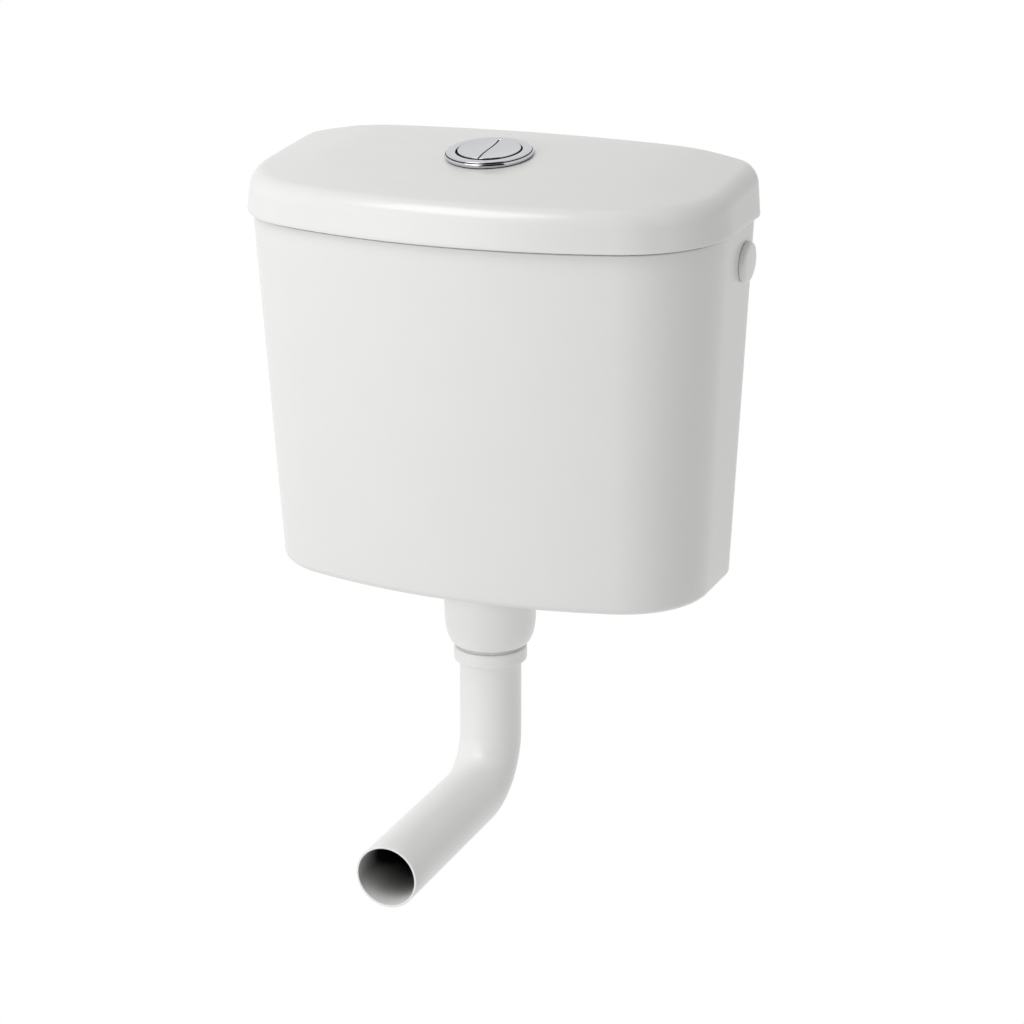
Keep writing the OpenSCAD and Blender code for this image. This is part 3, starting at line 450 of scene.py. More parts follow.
def noise(tree, spot, width, detail, rough=0.5):
    """A cloudy pattern of that width in millimetres."""
    return add_node(tree, "ShaderNodeTexNoise", inputs={
        "Vector": spot, "Scale": 1.0 / (width * MM), "Detail": detail, "Roughness": rough}).outputs["Fac"]


def remap(tree, value, given, wanted=(0.0, 1.0), **settings):
    """The value, with the given range drawn out to the wanted one."""
    return add_node(tree, "ShaderNodeMapRange", settings, {
        "Value": value, "From Min": given[0], "From Max": given[1],
        "To Min": wanted[0], "To Max": wanted[1]}).outputs[0]


def blend(tree, factor, low, high):
    """A colour between two; 6, 7 and 2 are the Mix node's sockets for colours."""
    return add_node(tree, "ShaderNodeMix", {"data_type": "RGBA"}, {
        "Factor": factor, 6: [*low, 1.0], 7: [*high, 1.0]}).outputs[2]


def mottled(tree, tint, factor, spread):
    """The tint, darker and lighter by the spread."""
    dark, light = ([min(c * k, 1.0) for c in tint] for k in (1 - spread, 1 + spread))
    return blend(tree, factor, dark, light)


def uneven(tree, height, strength):
    """Normals of a surface that isn't quite flat, with heights of up to 0.1 mm."""
    return add_node(tree, "ShaderNodeBump", inputs={
        "Strength": strength, "Distance": 0.1 * MM, "Height": height}).outputs[0]


def moulded_plastic(name, tint, rough, ripple_mm, ripple, mottle_mm=45):
    """Injection-moulded plastic: a soft gloss, with the slight ripple and mottling of the mould."""
    material, tree, spot = new_finish(name)
    cloud = noise(tree, spot, mottle_mm, 2.0)
    close_principled(tree, {
        "Base Color": mottled(tree, tint, cloud, 0.015),
        "Roughness": remap(tree, cloud, (0.2, 0.8), (rough * 0.93, rough * 1.07), clamp=False),
        "IOR": 1.53,
        "Normal": uneven(tree, noise(tree, spot, ripple_mm, 1.0, 0.4), ripple)})
    return material


def bright_metal(name, tint, low, high, wave_mm, wave):
    """Bright metal: a clear mirror with faint haze, on a base that is never quite flat."""
    material, tree, spot = new_finish(name)
    haze = noise(tree, spot, wave_mm / 4, 3.0, 0.6)
    close_principled(tree, {
        "Base Color": mottled(tree, tint, haze, 0.03),
        "Metallic": 1.0,
        "Roughness": remap(tree, haze, (0.3, 0.7), (low, high)),
        "Normal": uneven(tree, noise(tree, spot, wave_mm, 0.0), wave)})
    return material


def bore_with_painted_shade(name, mouth, deep):
    """The dull bore of a water pipe, with its light and shade painted: painted light along its bottom near
    the mouth, painted shade further in and above.
    """
    material, tree, spot = new_finish(name)
    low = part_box("flush_bend")[0]
    axes = add_node(tree, "ShaderNodeSeparateXYZ", inputs={"Vector": spot}).outputs
    # Painted shade: darker with depth into the bore and towards its top; the noise only adds random patches
    depth = remap(tree, axes["Y"], (low.y - 4 * MM, low.y + 76 * MM), interpolation_type="SMOOTHSTEP")
    above = remap(tree, axes["Z"], (low.z + 5 * MM, low.z + 22 * MM), (0.0, 0.5),
                  interpolation_type="SMOOTHSTEP")
    shade = add_node(tree, "ShaderNodeMath", {"operation": "ADD"}, {0: depth, 1: above}).outputs[0]
    patchy = add_node(tree, "ShaderNodeMath", {"operation": "MULTIPLY_ADD", "use_clamp": True}, {
        0: noise(tree, spot, 9, 2.0), 1: 0.08, 2: shade}).outputs[0]
    close_principled(tree, {"Base Color": blend(tree, patchy, mouth, deep), "Roughness": 0.5, "IOR": 1.53})
    return material


def moulded_rubber(name, tint):
    """Moulded EPDM rubber: dull, with a fine grain and a pale bloom in patches."""
    material, tree, spot = new_finish(name)
    close_principled(tree, {
        "Base Color": mottled(tree, tint, noise(tree, spot, 6, 3.0, 0.6), 0.12),
        "Roughness": 0.62,
        "IOR": 1.5,
        "Normal": uneven(tree, noise(tree, spot, 0.5, 2.0), 0.3)})
    return material


MAKERS = {
    # Tank, lid and plug: a clean white with one broad, soft highlight
    "tank_abs": lambda tints: moulded_plastic("glossy_white_abs", tints.skin, 0.24, 2.2, 0.05),
    # Coupling and flush bend: a lighter white with a little less gloss
    "pipe_pvc": lambda tints: moulded_plastic("white_pvc", tints.pipe, 0.3, 3.0, 0.05),
    # Bezel and buttons: a clear mirror of the white studio and its black flag
    "chrome_plate": lambda tints: bright_metal("chrome_plate_on_abs", tints.chrome, 0.05, 0.09, 14, 0.08),
    # Sleeve and groove: the dark line round the buttons and under the bezel's flat, a charcoal that is partly
    # the sleeve's own colour and partly painted shade in the gaps, the groove and the contact line
    "unplated_and_painted_shade": lambda tints: moulded_plastic("charcoal_abs_and_painted_shade", tints.unplated_and_painted_shade, 0.5, 1.6, 0.1, 18),
    # Inside of the bend: a mouth with painted shade that darkens inwards, as in a long pipe
    "bore": lambda tints: bore_with_painted_shade("painted_shade_pvc_bore", tints.pipe, tints.bore),
    # Seals: a dull grey band between the white pieces
    "seal_rubber": lambda tints: moulded_rubber("grey_epdm_rubber", tints.rubber),
    # Springs and pins: a brushed grey glint
    "spring_steel": lambda tints: bright_metal("drawn_spring_steel", tints.steel, 0.22, 0.36, 3, 0.2),
    # Levers and arm: a pale blue that tells the moving pieces from the white ones
    "lever_acetal": lambda tints: moulded_plastic("pale_blue_acetal", tints.lever, 0.36, 1.6, 0.08, 12),
    # Other valve pieces: a satin white, duller than the tank's
    "valve_abs": lambda tints: moulded_plastic("satin_valve_abs", tints.inner, 0.4, 1.6, 0.1, 18),
}
FINISHES = {}


def finish(context, kind):
    """The material of that kind, made once."""
    if kind not in FINISHES:
        FINISHES[kind] = MAKERS[kind](context.scene.cistern_finish)
    return FINISHES[kind]


# Tank

def hem_rise(lid, y):
    """Rise of the lid's lower edge and of the tank's shoulder from the front to the wall."""
    return lid.rise * max(1 + y / lid.depth, 0) ** 1.3


def lifted(lid, ring, share=1.0):
    """The ring, raised with the lid's lower edge."""
    for p in ring:
        p.z += hem_rise(lid, p.y) * share
    return ring


def tank_ring(tank, z, inset, back):
    """The tank's plan at a height, drawn in by the inset, and by back from the wall."""
    share = z / tank.shoulder
    outline = plan(half_width(tank, z) - inset,
                   tank.depth_low + (tank.depth_top - tank.depth_low) * share - inset,
                   tank.corner_low + (tank.corner_top - tank.corner_low) * share - inset,
                   max(tank.rear - inset, 2 * MM), tank.bow - inset, back)
    return [Vector((x, y, tank.foot + z)) for x, y in outline]


def to_circle(ring, centre, r, share):
    """The ring drawn towards a circle about the centre, at equal directions."""
    points = []
    for p in ring:
        away = Vector((p.x - centre.x, p.y - centre.y))
        rim = away.normalized() * r
        points.append(Vector((centre.x + away.x + (rim.x - away.x) * share,
                              centre.y + away.y + (rim.y - away.y) * share, p.z)))
    return points


class CISTERN_OT_tank(bpy.types.Operator):
    """Builds the tank with its rim, floor, valve hole, inlet holes and wall fixings"""
    bl_idname = "cistern.tank"
    bl_label = "Tank"

    def execute(self, context):
        scene = context.scene
        tank, inlets, lid = scene.cistern_tank, scene.cistern_inlets, scene.cistern_lid
        axis = Vector((0, tank.valve_y))
        edge, soft = tank.round, 1 * MM
        # Underside, from the valve hole to the rounded edge
        under = tank_ring(tank, 0, edge, edge)
        rings = [to_circle(under, axis, tank.valve_hole, share)
                 for share in (1, 0.93, 0.8, 0.6, 0.4, 0.2, 0.08)]

        def level(z, inset, back=None, rise=0.0):
            """Adds a ring at a height, with a share of the lid's rise."""
            rings.append(lifted(lid, tank_ring(tank, z, inset, inset if back is None else back), rise))

        for lift, out in quarter(8):
            level(edge * lift, edge * (1 - out))
        # Walls, up to a shoulder that rises with the lid's lower edge
        top, steps = tank.shoulder - soft, 14
        for share in (i / steps for i in range(1, steps + 1)):
            level(edge + (top - edge) * share, 0, rise=share ** 4)
        for inward, lift in quarter(4, 1):
            level(top + soft * lift, soft * inward, rise=1.0)
        level(tank.shoulder, tank.rim_in, tank.rim_back, rise=1.0)
        # Rim that carries the lid
        near = 0.3 * soft
        for inset, z in ((0, tank.rim - soft), (near, tank.rim - near), (soft, tank.rim),
                         (tank.wall - soft, tank.rim), (tank.wall - near, tank.rim - near),
                         (tank.wall, tank.rim - soft), (tank.wall, tank.shoulder)):
            level(z, tank.rim_in + inset, tank.rim_back + inset)
        # Inside, down to the floor and back to the valve hole
        low, high, steps = tank.floor + edge, tank.shoulder - 2 * tank.wall, 8
        for i in range(steps + 1):
            level(high + (low - high) * i / steps, tank.wall)
        for inward, fall in quarter(6, 1):
            level(low - edge * fall, tank.wall + edge * inward)
        floor = rings[-1]
        rings += [to_circle(floor, axis, tank.valve_hole, share) for share in (0.2, 0.5, 0.8, 1)]
        bm = bmesh.new()
        skin_through(bm, rings)
        piece = add_piece(context, bm, "tank_shell", "tank", "tank_abs", ["tank_body"])
        # Holes, and a boss round each wall fixing, in millimetres
        r, wide, tall, foot = tank.fixing_r / MM, 5, 7, 2.5
        boss = scaled([(r, foot), (r, tall - 0.4), (r + 0.4, tall), (r + wide - 0.6, tall),
                       (r + wide, tall - 0.6), (r + wide, foot + 0.9), (r + wide + 1.2, foot)])
        cutters, bosses = bmesh.new(), bmesh.new()
        for side in (-1, 1):
            fixing = Matrix.Translation((side * tank.fixing_x, 0, 0)) @ Matrix.Rotation(math.pi / 2, 4, "X")
            peg(cutters, fixing, tank.fixing_r, 12 * MM, 48)
            peg(cutters, inlet_place(context, side < 0), inlets.hole, 16 * MM, 64)
            turned(bosses, boss, fixing, 48)
        drill(piece, cutters)
        add_piece(context, bosses, "fixing_bosses", "tank", "tank_abs", ["tank_body"])
        return {"FINISHED"}


# Lid

def lid_rise(lid, x, y):
    """Height of the lid's top above the tank's underside, before the falls near its edges.

    The pillow is highest behind the buttons; 27 / 4 brings its curve's peak to 1.
    """
    reach = 1.23
    t, side = min(-reach * y / lid.depth, 1), min(abs(x) / lid.half, 1)
    pillow = lid.pillow * 27 / 4 * t * (1 - t) ** 2 * (1 - side * side) ** 2
    return lid.top + lid.slope * y - lid.crown * (x / lid.half) ** 2 + pillow


def dome_fall(lid, inset):
    """Fall of the top towards its edges."""
    return lid.dome * (max(lid.dome_w - inset, 0) / lid.dome_w) ** 2


def panel_fall(lid, inset):
    """Fall of the raised panel's shoulder, which starts softly and ends in a faint crease."""
    steep, foot = 0.026, 6 * MM
    run = lid.panel_w - foot
    down = min(max(lid.panel + lid.panel_w - inset, 0), run)
    fall = steep * down ** 2.5 / run ** 1.5 / 2.5
    last = min(max(lid.panel + foot - inset, 0), foot)
    return fall + steep * (last - last * last / (2 * foot))


class CISTERN_OT_lid(bpy.types.Operator):
    """Builds the domed lid with its skirt, its ledge and the boss under the buttons"""
    bl_idname = "cistern.lid"
    bl_label = "Lid"

    def execute(self, context):
        tank, lid = context.scene.cistern_tank, context.scene.cistern_lid
        axis = Vector((0, tank.valve_y))

        def outline(inset, back):
            """The lid's plan, drawn in by the inset, and by back from the wall."""
            return plan(lid.half - inset, lid.depth - inset, max(lid.corner - inset, 3 * MM),
                        max(tank.rear - inset / 3, 2 * MM), tank.bow - inset, back)

        def sloped(inset, back, fall):
            """A ring on the lid's slope, less the fall."""
            return [Vector((x, y, tank.foot + lid_rise(lid, x, y) - fall))
                    for x, y in outline(inset + lid.lean, back)]

        def level(inset, back, z):
            """A level ring at a height above the tank's underside."""
            return [Vector((x, y, tank.foot + z)) for x, y in outline(inset, back)]

        def drawn_in(ring, r, share, fall):
            """The ring drawn towards a circle round the buttons, on the lid's slope."""
            points = to_circle(ring, axis, r, share)
            for p in points:
                p.z = tank.foot + lid_rise(lid, p.x, p.y) - fall
            return points

        # Top, from the button hole to the rounded edge
        middle = sloped(lid.dome_w, lid.wall, 0)
        rings = [drawn_in(middle, lid.hole, share, 0)
                 for share in (1, 0.96, 0.9, 0.8, 0.66, 0.5, 0.32, 0.16)]
        steps = 37
        for i in range(steps + 1):
            inset = lid.dome_w + (lid.round - lid.dome_w) * i / steps
            fall = dome_fall(lid, inset) + panel_fall(lid, inset)
            rings.append(sloped(inset, lid.wall * (1 - i / steps), fall))
        for drop, out in quarter(14, 1):
            inset = lid.round * (1 - out)
            fall = dome_fall(lid, inset) + panel_fall(lid, inset)
            rings.append(sloped(inset, 0, lid.round * drop + fall))
        # Skirt and its rounded hem, which rises towards the wall
        brow, steps = rings[-1], 6
        hem = lifted(lid, level(0.4 * MM, 0, lid.skirt + 1.2 * MM))
        rings += [[a.lerp(b, i / steps) for a, b in zip(brow, hem)] for i in range(1, steps + 1)]
        for inset, back, up in ((0.65 * MM, 0, 0.4 * MM), (1.3 * MM, 0.3 * MM, 0), (lid.wall, lid.wall, 0)):
            rings.append(lifted(lid, level(inset, back, lid.skirt + up)))
        # Ledge just above the tank's rim
        ledge, edge = tank.rim + 0.1 * MM, lid.wall + lid.ledge
        rings += [level(lid.wall + lid.lean / 2, lid.wall, ledge), level(edge, edge, ledge)]
        # Ceiling, and the boss under the buttons
        steps = 8
        for i in range(steps + 1):
            inset = edge + (lid.dome_w - edge) * i / steps
            rings.append(sloped(inset, edge, dome_fall(lid, inset) + lid.wall))
        ceiling = rings[-1]
        rings += [drawn_in(ceiling, lid.boss, share, lid.wall) for share in (0.25, 0.5, 0.75, 1)]
        for r in (lid.boss, lid.hole):
            foot = to_circle(ceiling, axis, r, 1)
            for p in foot:
                p.z = tank.foot + lid.boss_foot
            rings.append(foot)
        bm = bmesh.new()
        skin_through(bm, rings)
        add_piece(context, bm, "lid_shell", "lid", "tank_abs", ["lid"])
        return {"FINISHED"}


# Bezel, buttons and springs

def seat_place(context):
    """Place of the button seat, tilted with the lid's top."""
    tank, buttons = context.scene.cistern_tank, context.scene.cistern_buttons
    return (Matrix.Translation((0, tank.valve_y, buttons.seat))
            @ Matrix.Rotation(math.atan(buttons.tilt), 4, "X"))


class CISTERN_OT_bezel(bpy.types.Operator):
    """Builds the chrome bezel with its rolled rim and the sleeve below it"""
    bl_idname = "cistern.bezel"
    bl_label = "Bezel"

    def execute(self, context):
        tank, size = context.scene.cistern_tank, context.scene.cistern_buttons
        place = seat_place(context)
        r, h, lip, foot = (v / MM for v in (size.bezel_r, size.bezel_h, size.lip_r, size.lip_foot))
        out, bore, floor = (v / MM for v in (size.sleeve_r, size.bore, size.sleeve_floor))
        # Section in millimetres: rolled lip, flat with its outer edge, a groove darkened with painted shade,
        # and a bead on the lid
        roll, brink, base, roll_z = 0.7, 0.6, 0.7, h - 0.95
        bead_r, bead_z, bead_start, bead_end = 2.1, 1.9, 46, -34
        groove, bead = h - 0.8, bead_z + bead_r * math.sin(math.radians(bead_start))
        profile = ([(out - 0.2, foot), (lip, foot), (lip, roll_z)]
                   + arc(lip + roll, roll_z, roll, 180, 100, 8)
                   + [(lip + 2.1, h - 0.18), (lip + 4.2, h - 0.15), (lip + 5.8, h - 0.22)]
                   + arc(r - 1.8, h - 0.9, brink, 82, 10, 8)
                   + [(r - 1.22, groove), (r - 1.75, groove - 0.25), (r - 1.75, bead + 0.1)]
                   + arc(r - bead_r, bead_z, bead_r, bead_start, bead_end, 24)
                   + [(r - 1.2, base), (out - 0.2, base)])
        bm = bmesh.new()
        turned(bm, scaled(profile), place, 192)
        # The groove's lower wall and the lip's inner face take the charcoal: painted shade in the groove and
        # in the gap round the buttons
        for face in bm.faces:
            spot = place.inverted() @ face.calc_center_median()
            in_shaded_groove = spot.xy.length > size.bezel_r - 1.8 * MM and bead < spot.z / MM < groove
            face.material_index = 1 if in_shaded_groove or spot.xy.length < size.lip_r + 0.05 * MM else 0
        add_piece(context, bm, "bezel_chrome", "lid", "chrome_plate", ["button_bezel"],
                  ["chrome_plate", "unplated_and_painted_shade"], sharp=50)
        # Gasket on the lid, and the sleeve whose top follows the lid's slope, both in charcoal: their own
        # dark, which also paints the contact shadow under the bead and the shade in the gap
        bm = bmesh.new()
        turned(bm, scaled([(out + 0.1, -0.3), (r - 0.75, -0.3), (r - 0.6, 0.75), (out + 0.1, 0.75)]),
               place, 128)
        gasket = len(bm.verts)
        sleeve = Matrix.Translation((0, tank.valve_y, size.sleeve_foot))
        tall = (size.seat - size.sleeve_foot) / MM + foot
        turned(bm, scaled([(0, 0), (out - 0.8, 0), (out, 0.8), (out, tall), (bore, tall), (bore, floor),
                           (0, floor)]), sleeve, closed=False)
        bm.verts.ensure_lookup_table()
        for vert in bm.verts[gasket:]:
            if vert.co.z > size.seat:
                vert.co.z += size.tilt * (vert.co.y - tank.valve_y)
        piece = add_piece(context, bm, "bezel_sleeve", "lid", "chrome_plate", ["button_bezel"],
                          ["unplated_and_painted_shade"])
        cutters = bmesh.new()
        for side, _ in HALVES:
            peg(cutters, stem_place(context, side, size.sleeve_foot), size.stem_r + 0.3 * MM, 12 * MM, 48)
        drill(piece, cutters)
        return {"FINISHED"}


def button_outline(size, side, whole, inset):
    """Plan of one half of a round button of the whole radius, about its axis, drawn in by the inset."""
    r = whole - inset
    gap = size.split / 2 + inset
    reach = math.sqrt(r * r - gap * gap)
    ends = math.degrees(math.asin(gap / r))
    bend = arc(0, 0, r, -90 + ends, 90 - ends, 64)
    steps = 40
    split = [(gap, reach - 2 * reach * i / steps) for i in range(1, steps)]
    points = bend + split
    soft = 6 * MM
    shifted = []
    for x, y in points:
        near = max(0.0, 1 - (x - gap) / soft)
        swing = size.wave * math.sin(math.pi * y / size.cap_r) + size.skew * y
        shifted.append((x * side + near * swing, y))
    return shifted if side > 0 else shifted[::-1]


class CISTERN_OT_buttons(bpy.types.Operator):
    """Builds the two chrome half buttons, hollow below, each on its stem"""
    bl_idname = "cistern.buttons"
    bl_label = "Buttons"

    def execute(self, context):
        tank, size = context.scene.cistern_tank, context.scene.cistern_buttons
        for side, name in HALVES:
            # About the middle of a half disc, which the dish is drawn towards
            middle = side * size.cap_r * 0.44

            def tilted(whole, inset, drop, share=1.0):
                """A ring with the lid's slope."""
                ring = []
                for x, y in button_outline(size, side, whole, inset):
                    x, y = middle + (x - middle) * share, y * share
                    hollow = size.dish * (1 - share * share)
                    z = size.button_top + size.tilt * y - drop - hollow
                    ring.append(Vector((x, y + tank.valve_y, z)))
                return ring

            def flat(inset, z):
                """A level ring of the flange."""
                return [Vector((x, y + tank.valve_y, z))
                        for x, y in button_outline(size, side, size.flange_r, inset)]

            wall, low, soft, edge = size.button_wall, size.button_foot, 0.3 * MM, 0.4 * MM
            deep = size.button_top - size.seat - size.lip_foot + 0.4 * MM
            rings = [flat(wall, size.button_roof), flat(wall, low + soft), flat(wall - soft, low),
                     flat(soft, low), flat(0, low + soft), tilted(size.flange_r, 0, deep),
                     tilted(size.cap_r, 0, deep)]
            # The skirt, the flange and the cap's side take the charcoal: painted shade in the gap round the
            # button
            skirt = range(len(rings) + 1)
            for inward, lift in quarter(5):
                rings.append(tilted(size.cap_r, edge * inward, edge * (1 - lift)))
            for share in (0.96, 0.88, 0.76, 0.6, 0.42, 0.22, 0.06):
                rings.append(tilted(size.cap_r, edge, 0.0, share))
            bm = bmesh.new()
            first, last = skin_through(bm, rings, closed=False, second=skirt)
            for face in bmesh.ops.contextual_create(bm, geom=first)["faces"]:
                face.material_index = 1
            bmesh.ops.contextual_create(bm, geom=last)
            plated = len(bm.faces)
            # Stem with a socket for the push rod, in millimetres
            s, low, top = (v / MM for v in (size.stem_r, size.stem_foot, size.button_roof))
            socket, depth = 2.55, 13
            turned(bm, scaled([(0, low + depth), (socket, low + depth), (socket, low + 0.4),
                               (socket + 0.35, low), (s - 0.5, low), (s, low + 0.5), (s, top + 0.5),
                               (0, top + 0.5)]), stem_place(context, side, 0), 40, closed=False)
            bm.faces.ensure_lookup_table()
            for face in bm.faces[plated:]:
                face.material_index = 1
            add_piece(context, bm, f"{name}_button_chrome", f"{name}_button", "chrome_plate",
                      [f"{name}_flush_button"], ["chrome_plate", "unplated_and_painted_shade"], sharp=40)
        return {"FINISHED"}


class CISTERN_OT_springs(bpy.types.Operator):
    """Winds the two return springs, each with a closed coil at both ends"""
    bl_idname = "cistern.springs"
    bl_label = "Return springs"

    def execute(self, context):
        size = context.scene.cistern_buttons
        foot = size.sleeve_foot + size.sleeve_floor
        tall, dead = size.button_roof - foot - 2 * size.wire, 2.1 * size.wire
        for side, name in HALVES:
            centre = stem_place(context, side, foot).to_translation()
            start = (Matrix.Translation(centre + Vector((size.coil, 0, size.wire)))
                     @ Matrix.Rotation(math.pi / 2, 4, "X"))
            bm = bmesh.new()
            loop = bmesh.ops.create_circle(bm, segments=12, radius=size.wire, matrix=start,
                                           cap_ends=True)["verts"]
            geom = [*loop, *{e for v in loop for e in v.link_edges}, *{f for v in loop for f in v.link_faces}]
            for turns, rise in ((1, dead), (6, tall - 2 * dead), (1, dead)):
                steps = turns * 48
                geom = bmesh.ops.spin(bm, geom=geom, cent=centre, axis=(0, 0, 1),
                                      dvec=(0, 0, rise / steps), angle=math.tau * turns, steps=steps,
                                      use_merge=False)["geom_last"]
            piece = add_piece(context, bm, f"{name}_spring_wire", "lid", "spring_steel",
                              [f"{name}_button_spring"], sharp=60)
            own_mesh(piece)
        return {"FINISHED"}


# Outlet

class CISTERN_OT_outlet(bpy.types.Operator):
    """Builds the coupling under the tank, the rubber band and the flush bend"""
    bl_idname = "cistern.outlet"
    bl_label = "Outlet"

    def execute(self, context):
        size = context.scene.cistern_outlet
        place = valve_axis(context)
        wide, slim, bore = size.coupling_wide, size.coupling_slim, size.coupling_bore
        top, foot, rim = size.coupling_top, size.coupling_foot, size.coupling_edge
        edge, lead, soft = 1.2 * MM, 0.6 * MM, 0.5 * MM
        bowl = [(rim + (slim - rim) * x, foot + size.coupling_bowl * (1 + y))
                for x, y in arc(0, 0, 1, -90, -3, 24)]
        bm = bmesh.new()
        turned(bm, [(bore, top - lead), (bore, size.lip), (size.lip_r, size.lip), (size.lip_r, foot)]
               + bowl + [(wide, top - edge)] + arc(wide - edge, top - edge, edge, 15, 90, 5)
               + [(bore + lead, top)], place, 128)
        add_piece(context, bm, "outlet_cup", "tank", "pipe_pvc", ["outlet_coupling"])
        pipe, band, low = size.pipe_r + 0.05 * MM, size.seal_r, size.seal_foot
        neck, neck_top = size.lip_r - 0.1 * MM, size.lip - 0.3 * MM
        bm = bmesh.new()
        turned(bm, [(pipe, neck_top), (neck, neck_top), (neck, foot), (band - soft, foot),
                    (band, foot - soft), (band, low + soft), (band - soft, low), (pipe, low)], place, 128)
        add_piece(context, bm, "pipe_seal_band", "tank", "seal_rubber", ["pipe_seal"])
        outside, inside = self.pipe_rings(context, size)
        last = len(outside) + len(inside)
        bm = bmesh.new()
        # The inside rings take the bore finish, with its painted shade
        skin_through(bm, outside + inside, second=range(len(outside) + 1, last))
        add_piece(context, bm, "flush_bend_pipe", "flush_bend", "pipe_pvc", ["flush_bend"],
                  ["pipe_pvc", "bore"])
        return {"FINISHED"}

    def pipe_rings(self, context, size):
        """Rings down the outside of the pipe to its open end, and rings back up the inside."""
        start = valve_axis(context)
        elbow = start @ Matrix.Translation((0, -size.bend_r, size.bend))
        arm = Matrix.Translation((0, size.bend_r, 0))
        bend_steps, run_steps, neck_steps = 28, 8, 6

        def down(r, z):
            """A ring on the upright part."""
            return circle(start @ Matrix.Translation((0, 0, z)), r)

        def onward(r, step, along=0.0):
            """A ring at a step round the bend, or further along from there."""
            turn = Matrix.Rotation(math.radians(-90 * step / bend_steps), 4, "X")
            return circle(elbow @ turn @ arm @ Matrix.Translation((0, 0, -along)), r)

        def straight(r, i):
            """A ring on the forward run."""
            return onward(r, bend_steps, (end - lip) * i / run_steps)

        r, bore, top, end = size.pipe_r, size.pipe_r - size.pipe_wall, size.pipe_top, size.forward
        soft, lip, near, fillet = 2 * MM, 0.5 * MM, 0.15 * MM, 1.2 * MM
        high, low = size.collar_top, size.collar_top - size.collar_h
        outside = [down(r - lip, top), down(r, top - lip), down(r, high)]
        outside += [down(x, z) for x, z in arc(size.collar_r - soft, high - soft, soft, 90, 0, 6)]
        outside += [down(x, z) for x, z in arc(size.collar_r - soft, low + soft, soft, 0, -70, 6)]
        outside += [down(r + lip, low - near), down(r + 0.1 * MM, low - lip)]
        outside += [down(r, low - fillet + (size.bend - low + fillet) * i / neck_steps)
                    for i in range(neck_steps + 1)]
        outside += [onward(r, i) for i in range(1, bend_steps + 1)]
        outside += [straight(r, i) for i in range(1, run_steps + 1)]
        outside += [onward(r - near, bend_steps, end - near), onward(r - lip, bend_steps, end)]
        inside = [onward(bore + lip, bend_steps, end), onward(bore + near, bend_steps, end - near)]
        inside += [straight(bore, i) for i in range(run_steps, 0, -1)]
        inside += [onward(bore, i) for i in range(bend_steps, 0, -1)]
        inside += [down(bore, size.bend), down(bore, top - lip), down(bore + lip, top)]
        return outside, inside


class CISTERN_OT_plug(bpy.types.Operator):
    """Builds the blanking plug in the right side inlet"""
    bl_idname = "cistern.plug"
    bl_label = "Blanking plug"

    def execute(self, context):
        size = context.scene.cistern_inlets
        r, t, shank = size.plug_r / MM, size.plug_t / MM, size.shank_r / MM
        soft, end = t * 0.62, -19.6
        bm = bmesh.new()
        turned(bm, scaled([(0, end), (shank - 0.8, end), (shank, end + 0.8), (shank, 0.1), (r - 0.6, 0.0),
                           (r, 0.4)]
                          + arc(r - soft, t - soft, soft, 0, 84, 12)
                          + [(r * 0.7, t + 0.15), (r * 0.35, t + 0.34), (0, t + 0.4)]),
               inlet_place(context, False), closed=False)
        add_piece(context, bm, "blanking_disc", "tank", "tank_abs", ["blanking_plug"])
        return {"FINISHED"}


def softened(node, width):
    """A copy of a CAD node with its flat faces joined up and its hard edges rounded."""
    flat, hard = math.radians(1), math.radians(30)
    bm = bmesh.new()
    bm.from_mesh(node.data)
    bmesh.ops.remove_doubles(bm, verts=bm.verts, dist=WELD)
    bmesh.ops.dissolve_limit(bm, angle_limit=flat, verts=bm.verts, edges=bm.edges)
    edges = [e for e in bm.edges if e.is_manifold and e.calc_face_angle() > hard]
    bmesh.ops.bevel(bm, geom=edges, offset=width, offset_type="OFFSET", segments=3, profile=0.5,
                    affect="EDGES", clamp_overlap=True, material=-1)
    return bm


